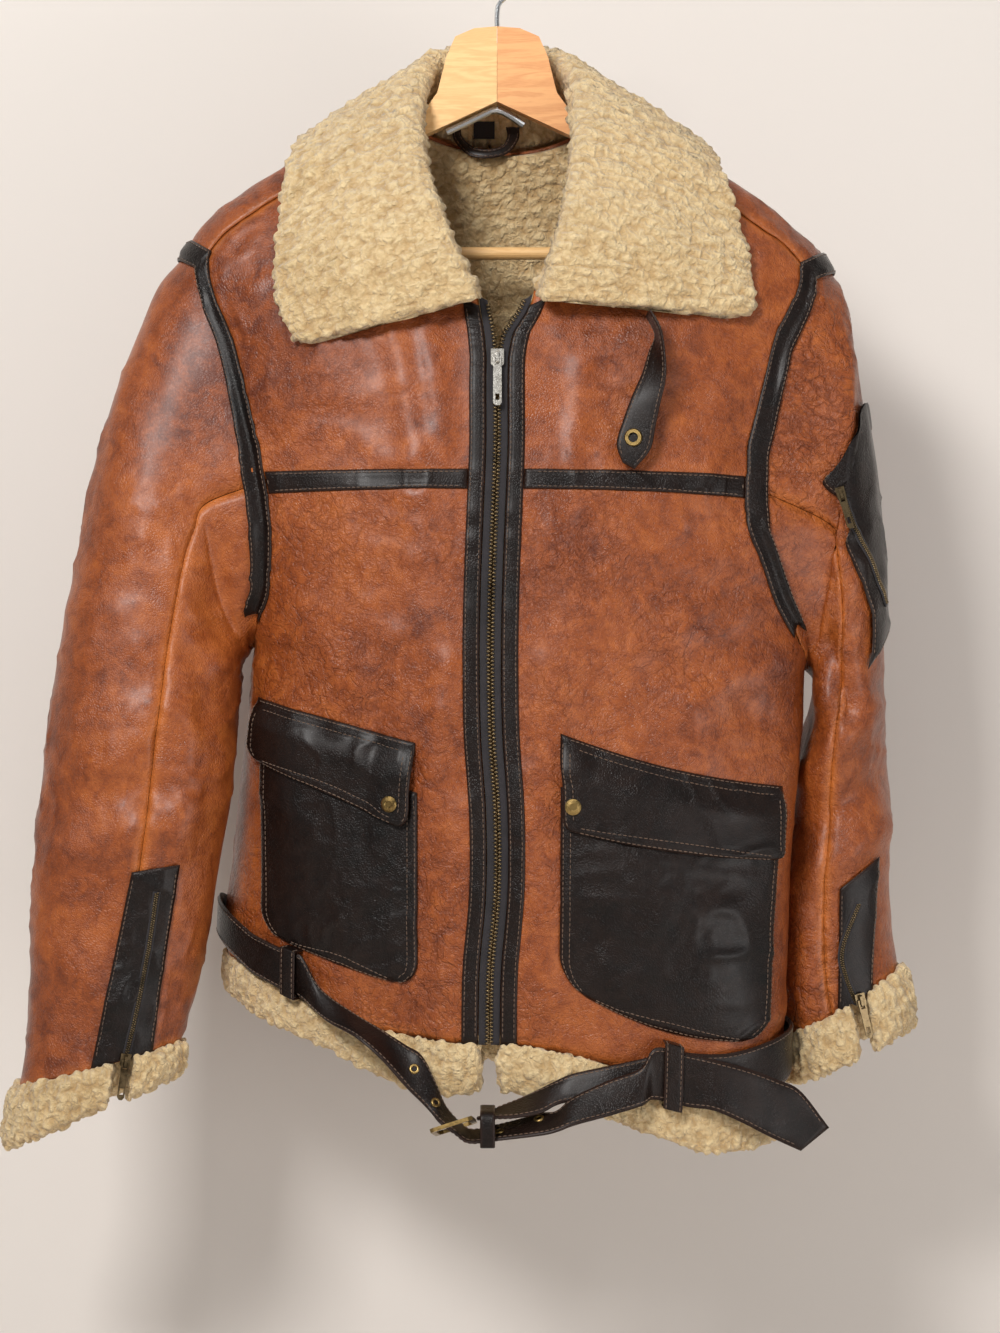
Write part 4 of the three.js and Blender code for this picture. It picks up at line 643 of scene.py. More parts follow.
def rim(grid: Points, sides: str = "lrtb") -> Points:
    """Distance from the nearest of some sides of a grid.

    Args:
        grid: (rows, columns, 3) points.
        sides: Letters for the first and last column and row: l, r, t, b.

    Returns:
        (rows, columns) distances.
    """
    across, down = lengths(grid, 1), lengths(grid, 0)
    far = {"l": across, "r": across[:, -1:] - across, "t": down, "b": down[-1:] - down}
    return np.min([far[side] for side in sides], axis=0)


def rounded(far: Points, wide: float) -> Points:
    """A quarter circle: 0 at an edge and 1 from some distance on."""
    return np.sqrt(1 - (1 - np.clip(far / wide, 0, 1)) ** 2)


def dips(far: Points, insets: Sequence[float], deep: float) -> Points:
    """The troughs that stitches pull into leather: a bell across each line."""
    return sum(deep * np.exp(-(((far - inset) / 0.9) ** 2)) for inset in insets)


@dataclass
class Wall:
    """A closed wall that is collected from grids, which may share edges."""

    outer: list[Points] = field(default_factory=list)
    inner: list[Points] = field(default_factory=list)
    uvs: list[Points] = field(default_factory=list)
    tones: list[Points] = field(default_factory=list)
    quads: list[Points] = field(default_factory=list)
    count: int = 0
    crumple: float = 0.5  # how creased the leather is

    def add(self, outer: Points, inner: Points, tone: Points | None = None) -> None:
        """Adds a grid.

        Args:
            outer: (rows, columns, 3) points of the skin that shows.
            inner: Points of the skin behind it.
            tone: A number from 0 to 1 for the material at each point.
        """
        rows, columns = outer.shape[:2]
        ids = self.count + np.arange(rows * columns).reshape(rows, columns)
        corners = (ids[:-1, :-1], ids[:-1, 1:], ids[1:, 1:], ids[1:, :-1])
        self.quads.append(np.stack([c.ravel() for c in corners], 1))
        self.outer.append(outer.reshape(-1, 3))
        self.inner.append(inner.reshape(-1, 3))
        self.uvs.append(stack(lengths(outer, 1), lengths(outer, 0)).reshape(-1, 2))
        self.tones.append((np.zeros((rows, columns)) if tone is None else tone).ravel())
        self.count += rows * columns

    def build(self, name: str, material: bpy.types.Material) -> bpy.types.Object:
        """Joins the grids where they meet, closes the rims and makes the object.

        Args:
            name: The object's name.
            material: Its material.

        Returns:
            The object.
        """
        outer, inner = np.concatenate(self.outer), np.concatenate(self.inner)
        _, first, same = np.unique(np.round(outer / 0.002), axis=0, return_index=True, return_inverse=True)
        quads = same.reshape(-1)[np.concatenate(self.quads)]
        edges = np.concatenate([quads[:, [k, (k + 1) % 4]] for k in range(4)])
        keys = edges[:, 0] * len(first) + edges[:, 1]
        free = edges[~np.isin(keys, edges[:, 1] * len(first) + edges[:, 0])]
        side = len(first)
        faces = np.concatenate([
            quads, quads[:, ::-1] + side,
            np.stack([free[:, 1], free[:, 0], free[:, 0] + side, free[:, 1] + side], 1),
        ])
        points = np.concatenate([outer[first], inner[first]])
        uv = np.tile(np.concatenate(self.uvs)[first], (2, 1))
        tone = np.tile(np.concatenate(self.tones)[first], 2)
        made = make_object(name, points, faces, material, uv, tone)
        give(made.data, "crumple", np.full(len(points), self.crumple))
        return made


def give(mesh: bpy.types.Mesh, name: str, values: Points) -> None:
    """Gives a mesh a number for each vertex."""
    mesh.attributes.new(name, "FLOAT", "POINT").data.foreach_set("value", values.astype(np.float32))


def make_object(
    name: str,
    points: Points,
    faces: Points,
    material: bpy.types.Material,
    uv: Points | None = None,
    tone: Points | None = None,
) -> bpy.types.Object:
    """Makes a smooth mesh object of quads, turned so that they face outward.

    Args:
        name: The object's name.
        points: Vertices in millimetres.
        faces: (n, 4) corners.
        material: Its material.
        uv: Lengths on the cloth in millimetres, one pair a vertex.
        tone: A number from 0 to 1 for each vertex.

    Returns:
        The object.
    """
    a, b, c, d = (points[faces[:, k]] for k in range(4))
    volume = np.sum(a * (np.cross(b, c) + np.cross(c, d)))
    faces = faces[:, ::-1] if volume < 0 else faces
    mesh = bpy.data.meshes.new(name)
    mesh.vertices.add(len(points))
    mesh.vertices.foreach_set("co", (points * MM).astype(np.float32).ravel())
    mesh.loops.add(faces.size)
    mesh.loops.foreach_set("vertex_index", faces.ravel().astype(np.int32))
    mesh.polygons.add(len(faces))
    mesh.polygons.foreach_set("loop_start", np.arange(0, faces.size, 4, dtype=np.int32))
    mesh.polygons.foreach_set("use_smooth", np.ones(len(faces), bool))
    mesh.update(calc_edges=True)
    if uv is not None:
        layer = mesh.uv_layers.new(name="cloth")
        layer.uv.foreach_set("vector", (uv[faces.ravel()] * MM).astype(np.float32).ravel())
    if tone is not None:
        give(mesh, "tone", tone)
    mesh.validate()
    mesh.materials.append(material)
    made = bpy.data.objects.new(name, mesh)
    bpy.context.scene.collection.objects.link(made)
    return made


def line_at(grid: Points, side: str, inset: float, trim: float) -> tuple[Points, Points]:
    """A line on a grid that keeps a distance from one of its sides.

    Args:
        grid: (rows, columns, 3) points.
        side: l, r, t or b.
        inset: Distance from that side.
        trim: Length left out at both ends.

    Returns:
        The line's points and its normals.
    """
    turned = grid if side in "lr" else np.swapaxes(grid, 0, 1)
    turned = turned[:, ::-1] if side in "rb" else turned
    normals = grid_normals(turned) * (-1 if side in "tr" else 1)
    reach = lengths(turned, 1)
    line, out = (np.array([[np.interp(inset, far, row[:, k]) for k in range(3)]
                           for far, row in zip(reach, values)]) for values in (turned, normals))
    out = unit(out)
    run = lengths(line, 0)
    at = np.arange(trim, max(run[-1] - trim, trim + 0.1), 1.0)
    return resample(run, line, at), unit(resample(run, out, at))


def resample(run: Points, values: Points, at: Points) -> Points:
    """Values between those of a line."""
    return np.stack([np.interp(at, run, values[:, k]) for k in range(3)], 1)


@dataclass(frozen=True)
class Bead:
    """A small block that is repeated along a line, such as a stitch or a zip tooth."""

    pitch: float = 4.0
    long: float = 2.9
    wide: float = 0.75
    high: float = 0.55
    sunk: float = 0.15
    shift: float = 0.0  # sideways
    taper: float = 0.55

    def rings(self, line: Points, out: Points, phase: float = 0.0) -> tuple[Points, Points]:
        """The blocks' vertices and faces: three rings of four corners for each block.

        Args:
            line: Points along the line.
            out: Normals there.
            phase: Length to the first block.

        Returns:
            Vertices and quads.
        """
        run = lengths(line, 0)
        at = np.arange(phase + self.long, run[-1] - self.long, self.pitch)
        base, up = resample(run, line, at), unit(resample(run, out, at))
        ahead = unit(resample(run, line, at + 0.8) - resample(run, line, at - 0.8))
        across = unit(np.cross(ahead, up))
        base = base + across * self.shift
        verts = []
        for way, narrow in ((-0.5, self.taper), (0.0, 1.0), (0.5, self.taper)):
            middle = base + ahead * (way * self.long)
            for x, z in ((-0.5, -self.sunk), (0.5, -self.sunk), (0.32, 1.0), (-0.32, 1.0)):
                height = z * self.high * (narrow if z > 0 else 1)
                verts.append(middle + across * (x * self.wide * narrow) + up * height)
        points = np.stack(verts, 1).reshape(-1, 3)
        loop = [(0, 1), (1, 2), (2, 3), (3, 0)]
        quads = [(4 * r + a, 4 * r + b, 4 * r + 4 + b, 4 * r + 4 + a) for r in range(2) for a, b in loop]
        block = np.array([*quads, (3, 2, 1, 0), (8, 9, 10, 11)])
        faces = (block[None] + 12 * np.arange(len(at))[:, None, None]).reshape(-1, 4)
        return points, faces


@dataclass
class Beads:
    """Rows of beads that become one object."""

    points: list[Points] = field(default_factory=list)
    faces: list[Points] = field(default_factory=list)
    count: int = 0

    def sew(self, bead: Bead, line: Points, out: Points, phase: float = 0.0) -> None:
        """Adds a row.

        Args:
            bead: The block.
            line: Points along the row.
            out: Normals there.
            phase: Length to the first block.
        """
        if len(line) < 3:
            return
        points, faces = bead.rings(line, out, phase)
        self.points.append(points)
        self.faces.append(faces + self.count)
        self.count += len(points)

    def edge(self, grid: Points, sides: str, insets: Sequence[float], trim: float = 3.0) -> None:
        """Sews rows of stitches beside a grid's sides."""
        for side in sides:
            for inset in insets:
                self.sew(STITCH, *line_at(grid, side, inset, trim + inset))

    def build(self, shop: Shop, name: str, look: str, slot: str) -> None:
        """Makes the object in one finish, and lets it ride on the jacket."""
        points, faces = np.concatenate(self.points), np.concatenate(self.faces)
        shop.keep(make_object(name, points, faces, shop.finish[look]), slot)


STITCH = Bead()


class Graph:
    """A node tree that is written in short lines."""

    def __init__(self, tree: bpy.types.NodeTree) -> None:
        """Keeps the tree."""
        self.tree = tree

    def feed(self, socket: bpy.types.NodeSocket, value: object) -> None:
        """Links a socket to another, or sets its value."""
        if isinstance(value, bpy.types.NodeSocket):
            self.tree.links.new(value, socket)
        else:
            socket.default_value = value

    def node(self, kind: str, **inputs: object) -> bpy.types.Node:
        """Adds a node.

        Args:
            kind: The node's type without its ShaderNode prefix.
            inputs: Its inputs by name, with _ for a space; a socket is linked and anything
                else is set, and a name that is not an input is set as a property.

        Returns:
            The node.
        """
        made = self.tree.nodes.new(f"ShaderNode{kind}")
        props = {k: v for k, v in inputs.items() if hasattr(made, k)}
        for key, value in props.items():
            setattr(made, key, value)
        for key, value in inputs.items():
            if key in props:
                continue
            found = int(key[1:]) if key[0] == "i" and key[1:].isdigit() else key.replace("_", " ")
            self.feed(made.inputs[found], value)
        return made

    def math(self, operation: str, a: object, b: object = 0.0, clamp: bool = False) -> object:
        """A Math node's value."""
        return self.node("Math", operation=operation, use_clamp=clamp, i0=a, i1=b).outputs[0]

    def times(self, a: object, b: object, clamp: bool = False) -> object:
        """A product."""
        return self.math("MULTIPLY", a, b, clamp)

    def plus(self, a: object, b: object) -> object:
        """A sum."""
        return self.math("ADD", a, b)

    def attribute(self, name: str) -> object:
        """A mesh attribute's value."""
        return self.node("Attribute", attribute_name=name).outputs["Fac"]

    def bump(self, height: object, strength: float, distance: float) -> object:
        """The normal of a bumpy surface."""
        return self.node("Bump", Height=height, Strength=strength, Distance=distance).outputs[0]

    def bent(self, place: object, scale: float, detail: float, amount: float) -> object:
        """Places that a coloured noise pushes about."""
        push = self.node("TexNoise", Vector=place, Scale=scale, Detail=detail).outputs["Color"]
        return self.node("VectorMath", operation="MULTIPLY_ADD", i0=push, i1=(amount,) * 3,
                         i2=place).outputs[0]

    def noise(self, vector: object, scale: float, detail: float = 4, distortion: float = 0) -> object:
        """A noise texture's value."""
        return self.node("TexNoise", Vector=vector, Scale=scale, Detail=detail,
                         Distortion=distortion).outputs["Fac"]

    def remap(self, value: object, low: float, high: float, to: tuple[float, float] = (0, 1)) -> object:
        """Maps a range to another and clips it."""
        made = self.node("MapRange", Value=value, From_Min=low, From_Max=high, To_Min=to[0], To_Max=to[1])
        return made.outputs[0]

    def mix(self, factor: object, a: object, b: object, blend: str = "MIX") -> object:
        """Mixes two colours.

        Args:
            factor: Share of the second.
            a: First colour.
            b: Second colour.
            blend: How they meet.

        Returns:
            The colour's socket.
        """
        made = self.tree.nodes.new("ShaderNodeMix")
        made.data_type, made.blend_type = "RGBA", blend
        for index, value in ((0, factor), (6, a), (7, b)):
            self.feed(made.inputs[index], value)
        return made.outputs[2]


Colour = tuple[float, float, float, float]


def srgb(red: float, green: float, blue: float) -> Colour:
    """A colour as a screen shows it, made linear."""
    return (*(((c / 255 + 0.055) / 1.055) ** 2.4 for c in (red, green, blue)), 1.0)


def effect(name: str, outputs: Sequence[tuple[str, str]], inputs: Sequence[tuple[str, str, object]],
           fill: Callable[[Graph, object, object], None]) -> bpy.types.NodeTree:
    """Makes a shader node group.

    Args:
        name: The group's name.
        outputs: Names and socket types.
        inputs: Names, socket types and usual values.
        fill: Called with the graph, the group's inputs and its output node's inputs.

    Returns:
        The group.
    """
    tree = bpy.data.node_groups.new(name, "ShaderNodeTree")
    for label, kind, value in inputs:
        socket = tree.interface.new_socket(label, in_out="INPUT", socket_type=f"NodeSocket{kind}")
        if value is not None:
            socket.default_value = value
    for label, kind in outputs:
        tree.interface.new_socket(label, in_out="OUTPUT", socket_type=f"NodeSocket{kind}")
    source, sink = tree.nodes.new("NodeGroupInput"), tree.nodes.new("NodeGroupOutput")
    fill(Graph(tree), source.outputs, sink.inputs)
    return tree


def fill_hide(g: Graph, given: object, out: object) -> None:
    """Height of leather: creases like cracked ridges in two sizes, and a pebbled grain.

    Args:
        g: The group's graph.
        given: The group's inputs.
        out: The group's outputs.
    """
    place = given["Place"]
    bent = g.bent(place, 14.0, 3.0, 0.03)
    ridges = []
    for scale, sharp in ((48.0, 0.06), (130.0, 0.08)):
        value = g.noise(bent, scale, 3, 0.4)
        middle = g.math("ABSOLUTE", g.math("SUBTRACT", value, 0.5))
        ridges.append(g.remap(middle, 0, sharp, (-1, 0)))
    pebble = g.node("TexVoronoi", Vector=bent, Scale=760.0, Randomness=1.0).outputs["Distance"]
    folds = g.plus(g.times(ridges[0], 0.55), g.times(ridges[1], 0.45))
    wide = g.times(g.noise(bent, 26.0, 2), 1.4)
    creased = g.times(g.plus(folds, wide), given["Creases"])
    grain = g.times(pebble, given["Grain"])
    g.tree.links.new(g.math("SUBTRACT", creased, grain), out["Height"])
    # Crease: the creases' grooves, where the leather's colour gets its painted shade
    g.tree.links.new(g.times(folds, -0.7, True), out["Crease"])


def fill_mottle(g: Graph, given: object, out: object) -> None:
    """Cloudy colour: light and dark patches in three sizes.

    Args:
        g: The group's graph.
        given: The group's inputs.
        out: The group's outputs.
    """
    place = given["Place"]
    large = g.noise(place, 7.0, 6, 0.8)
    small = g.noise(place, 75.0, 6, 0.6)
    fine = g.noise(place, 520.0, 4)
    coarse = g.plus(g.times(large, 0.38), g.times(small, 0.4))
    value = g.plus(coarse, g.times(fine, 0.22))
    dark = g.remap(value, 0.5, 0.36)
    light = g.remap(value, 0.5, 0.66)
    toned = g.mix(dark, given["Base"], given["Dark"])
    g.tree.links.new(g.mix(light, toned, given["Light"]), out["Colour"])
    g.tree.links.new(value, out["Value"])


class Effects:
    """The shader groups, each built once."""

    def __init__(self) -> None:
        """Builds the groups."""
        self.hide = effect(
            "hide", [("Height", "Float"), ("Crease", "Float")],
            [("Place", "Vector", None), ("Creases", "Float", 1.0), ("Grain", "Float", 0.3)], fill_hide)
        self.mottle = effect(
            "mottle", [("Colour", "Color"), ("Value", "Float")],
            [("Place", "Vector", None), ("Base", "Color", (0.5, 0.5, 0.5, 1)),
             ("Dark", "Color", (0.1, 0.1, 0.1, 1)), ("Light", "Color", (0.8, 0.8, 0.8, 1))], fill_mottle)

    def use(self, g: Graph, name: str, **inputs: object) -> bpy.types.Node:
        """Puts a group into a material."""
        return g.node("Group", node_tree=getattr(self, name), **inputs)


@dataclass(frozen=True)
class Finish:
    """A material with one Principled shader."""

    name: str

    def inputs(self, g: Graph, place: object, effects: Effects) -> dict[str, object]:
        """The shader's inputs by name, with _ for a space.

        Args:
            g: The material's graph.
            place: The place on the object.
            effects: The shader groups.

        Returns:
            A value or a socket for each input.
        """
        raise NotImplementedError

    def build(self, effects: Effects) -> bpy.types.Material:
        """Makes the material.

        Args:
            effects: The shader groups.

        Returns:
            The material.
        """
        material = bpy.data.materials.new(self.name)
        material.use_nodes = True
        g = Graph(material.node_tree)
        place = g.node("TexCoord").outputs["Object"]
        shader = g.tree.nodes["Principled BSDF"]
        for key, value in self.inputs(g, place, effects).items():
            g.feed(shader.inputs[key.replace("_", " ")], value)
        return material


@dataclass(frozen=True)
class Leather(Finish):
    """Aniline leather: mottled colour, worn edges, creases and grain, with painted shade darkening the
    creases' grooves.
    """

    base: Colour
    dark: Colour
    light: Colour
    worn: Colour  # along the edges
    gloss: tuple[float, float]  # roughness, low and high
    creases: float
    shine: float
    coat: float
    wear: float = 1.0

    def inputs(self, g: Graph, place: object, effects: Effects) -> dict[str, object]:
        """See Finish.inputs."""
        crumple = g.attribute("crumple")
        patchy = g.remap(g.noise(place, 9.0, 2), 0.38, 0.62, (0.35, 1.0))
        creases = g.times(g.times(crumple, patchy), self.creases)
        skin = effects.use(g, "hide", Place=place, Creases=creases, Grain=0.5)
        tint = effects.use(g, "mottle", Place=place, Base=self.base, Dark=self.dark, Light=self.light)
        tone = g.attribute("tone")
        rough = g.noise(place, 45.0, 4)
        worn = g.times(tone, g.remap(rough, 0.3, 0.62, (0.25, self.wear)), True)
        colour = g.mix(worn, tint.outputs["Colour"], self.worn)
        # painted shade: the colour darkens towards the dark tone along the creases' grooves
        painted_crease_shade = g.times(g.times(skin.outputs["Crease"], creases), 0.5, True)
        creased = g.mix(painted_crease_shade, colour, self.dark)
        normal = g.bump(skin.outputs["Height"], 0.75, 0.0012)
        return dict(Base_Color=creased, Normal=normal,
             Roughness=g.remap(g.noise(place, 38.0, 5, 0.6), 0.36, 0.64, self.gloss),
             Specular_IOR_Level=self.shine, Coat_Weight=self.coat, Coat_Roughness=0.36)


@dataclass(frozen=True)
class Fleece(Finish):
    """Curly sherpa: lighter on the curls and darker between them; the darkness between them is painted shade
    in the grooves.
    """

    top: Colour
    # the colour between the curls: painted shade in the grooves
    deep: Colour

    def inputs(self, g: Graph, place: object, effects: Effects) -> dict[str, object]:
        """See Finish.inputs."""
        tone = g.attribute("tone")
        bent = g.bent(place, 130.0, 2.0, 0.008)
        lumps = [g.node("TexVoronoi", Vector=bent, Scale=scale, feature="SMOOTH_F1",
                        Smoothness=0.25).outputs["Distance"] for scale in (150.0, 330.0)]
        curly = g.plus(g.times(lumps[0], 0.62), g.times(lumps[1], 0.38))
        # painted shade: darker towards deep where the pile is low and between the lumps
        shade = g.math("SUBTRACT", g.times(tone, 0.35), curly)
        tint_with_painted_groove_shade = g.mix(g.remap(shade, -0.62, -0.12), self.deep, self.top)
        tint = effects.use(g, "mottle", Place=place, Base=(1, 1, 1, 1), Dark=(0.8, 0.76, 0.68, 1),
                           Light=(1, 1, 1, 1))
        product = g.mix(1.0, tint_with_painted_groove_shade, tint.outputs["Colour"], "MULTIPLY")
        fibre = g.math("SUBTRACT", g.times(g.noise(place, 1500.0, 3, 1.5), 0.4),
                       g.times(curly, 2.0))
        normal = g.bump(fibre, 1.0, 0.0024)
        return dict(Base_Color=product, Normal=normal, Roughness=0.95,
             Sheen_Weight=0.35, Sheen_Roughness=0.6, Specular_IOR_Level=0.15)


@dataclass(frozen=True)
class Wood(Finish):
    """Planed wood: grain along one direction, with fine pores."""

    base: Colour
    dark: Colour
    turn: float  # degrees of the grain in the front view

    def inputs(self, g: Graph, place: object, effects: Effects) -> dict[str, object]:
        """See Finish.inputs."""
        turned = g.node("Mapping", Vector=place, Rotation=(0, math.radians(self.turn), 0),
                        Scale=(1.0, 7.0, 9.0)).outputs[0]
        rings = g.noise(turned, 9.0, 6, 1.2)
        bands = g.math("SINE", g.times(rings, 26.0))
        pores = g.noise(turned, 160.0, 4)
        share = g.plus(g.times(g.remap(bands, -1, 1), 0.4),
                       g.times(pores, 0.5))
        normal = g.bump(pores, 0.25, 0.0004)
        return dict(Base_Color=g.mix(g.remap(share, 0.25, 0.95), self.base, self.dark),
             Normal=normal, Roughness=g.remap(pores, 0.3, 0.7, (0.38, 0.55)), Coat_Weight=0.15)


@dataclass(frozen=True)
class Metal(Finish):
    """Cast or drawn metal with tarnish in patches and fine scratches."""

    base: Colour
    tarnish: Colour
    gloss: tuple[float, float]

    def inputs(self, g: Graph, place: object, effects: Effects) -> dict[str, object]:
        """See Finish.inputs."""
        tint = effects.use(g, "mottle", Place=place, Base=self.base, Dark=self.tarnish, Light=self.base)
        scratch = g.noise(place, 900.0, 4, 2.0)
        normal = g.bump(scratch, 0.12, 0.0002)
        return dict(Base_Color=tint.outputs["Colour"], Metallic=1.0, Normal=normal,
             Roughness=g.remap(scratch, 0.3, 0.7, self.gloss))


@dataclass(frozen=True)
class Cloth(Finish):
    """Woven tape or thread: fine crossed threads."""

    base: Colour
    scale: float = 1500.0

    def inputs(self, g: Graph, place: object, effects: Effects) -> dict[str, object]:
        """See Finish.inputs."""
        waves = [g.node("TexWave", Vector=place, Scale=self.scale, bands_direction=way).outputs["Fac"]
                 for way in ("X", "Z")]
        weave = g.times(waves[0], waves[1])
        tint = effects.use(g, "mottle", Place=place, Base=self.base,
                           Dark=tuple(0.6 * c for c in self.base[:3]) + (1,),
                           Light=tuple(min(1, 1.5 * c) for c in self.base[:3]) + (1,))
        normal = g.bump(weave, 0.4, 0.0003)
        return dict(Base_Color=tint.outputs["Colour"], Normal=normal, Roughness=0.8,
             Sheen_Weight=0.2)


@dataclass(frozen=True)
class Plaster(Finish):
    """A plastered wall, which is clear from behind, so that it hides nothing."""

    base: Colour

    def inputs(self, g: Graph, place: object, effects: Effects) -> dict[str, object]:
        """See Finish.inputs."""
        seen = g.node("MixShader", i0=g.node("NewGeometry").outputs["Backfacing"],
                      i1=g.tree.nodes["Principled BSDF"].outputs[0],
                      i2=g.node("BsdfTransparent").outputs[0])
        g.feed(g.tree.nodes["Material Output"].inputs["Surface"], seen.outputs[0])
        return dict(Base_Color=self.base, Roughness=0.9, Normal=g.bump(g.noise(place, 90.0, 5), 0.12, 0.001))


FINISHES = (
    Leather("tan", srgb(141, 70, 28), srgb(96, 41, 15), srgb(172, 94, 41), srgb(204, 118, 54),
            (0.32, 0.46), 1.9, 0.28, 0.34),
    Leather("dark", srgb(21, 12, 9), srgb(9, 6, 5), srgb(32, 20, 15), srgb(66, 40, 28),
            (0.26, 0.4), 0.6, 0.12, 0.3, 0.3),
    # the sherpa's second colour is the painted shade between its curls
    Fleece("sherpa", srgb(240, 213, 162), srgb(202, 166, 112)),
    Wood("wood_left", srgb(238, 194, 132), srgb(214, 164, 102), 32),
    Wood("wood_right", srgb(230, 168, 108), srgb(202, 134, 78), -32),
    Metal("brass", srgb(160, 134, 84), srgb(70, 52, 30), (0.25, 0.45)),
    Metal("antique", srgb(118, 102, 76), srgb(58, 48, 34), (0.25, 0.42)),
    Metal("nickel", srgb(206, 202, 194), srgb(150, 142, 130), (0.14, 0.3)),
    Metal("steel", srgb(200, 202, 204), srgb(150, 150, 150), (0.12, 0.25)),
    Cloth("tape", srgb(34, 30, 34)),
    Cloth("thread", srgb(104, 80, 62), 3000.0),
)


@dataclass
class Shop:
    """What every sub-assembly needs: the finishes, and the steps that each piece goes through."""

    finish: dict[str, bpy.types.Material]

    @staticmethod
    def keep(made: bpy.types.Object, slot: str, *nodes: str) -> None:
        """Lets a piece ride on the jacket in place of CAD nodes, and reports it.

        Args:
            made: The object.
            slot: The record's material slot; not used.
            nodes: The nodes that it stands for.
        """
        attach(made, "jacket")
        if nodes:
            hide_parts(*nodes)
        LOG.info("%s: %d faces", made.name, len(made.data.polygons))

    def fit(self, wall: Wall, name: str, nodes: Sequence[str], look: str, slot: str,
            held: str, on: Sequence[str]) -> None:
        """Args:
            wall: The wall.
            name: The object's name.
            nodes: The nodes that it stands for.
            look: Its finish.
            slot: The record's material slot.
            held: How the sheet is held; not used.
            on: Nodes that it lies on or hangs from; not used.
        """
        made = wall.build(name, self.finish[look])
        self.keep(made, slot, *nodes)
        spans = [(lengths(g, 1)[:, -1].mean(), lengths(g, 0)[-1].mean()) for g in self.grids(wall)]

    @staticmethod
    def grids(wall: Wall) -> list[Points]:
        """A wall's outer grids in their own shapes."""
        return [points.reshape(-1, int(quads[0, 3] - quads[0, 0]), 3)
                for points, quads in zip(wall.outer, wall.quads)]


def span(low: Points | float, high: Points | float, count: int) -> Points:
    """Even numbers between two."""
    t = np.linspace(0, 1, count)
    return np.asarray(low, float)[..., None] * (1 - t) + np.asarray(high, float)[..., None] * t


def square(across: int, down: int) -> list[Points]:
    """Even shares across and down, on a grid."""
    return np.meshgrid(np.linspace(0, 1, across), np.linspace(0, 1, down))


def spread(row: Points, u: Points) -> Points:
    """Repeats rows over a grid's columns."""
    return row[:, None] + 0 * u


def seam(grid: Points, sides: str, deep: float = 1.5, wide: float = 4.5) -> Points:
    """Bends a leather skin in towards its seams, and puffs it up a little beside them.

    Args:
        grid: (rows, columns, 3) points.
        sides: The sides with a seam.
        deep: How far in.
        wide: How far the bend reaches.

    Returns:
        The new grid.
    """
    far = rim(grid, sides)
    bend = -deep * (1 - smooth(far / wide)) + 0.5 * np.exp(-(((far - 2.2 * wide) / wide) ** 2))
    return grid + grid_normals(grid) * bend[..., None]


def faced(grid: Points, out: Points) -> tuple[Points, Points]:
    """Turns a grid's columns and its directions round where its normals point against them."""
    out = np.broadcast_to(out, grid.shape)
    return (grid, out) if np.sum(grid_normals(grid) * out) >= 0 else (grid[:, ::-1], out[:, ::-1])


def worn(grid: Points, sides: str = "lrtb", wide: float = 5.0) -> Points:
    """The edge's tone: 1 along some sides, 0 inside."""
    return np.exp(-((rim(grid, sides) / wide) ** 2))


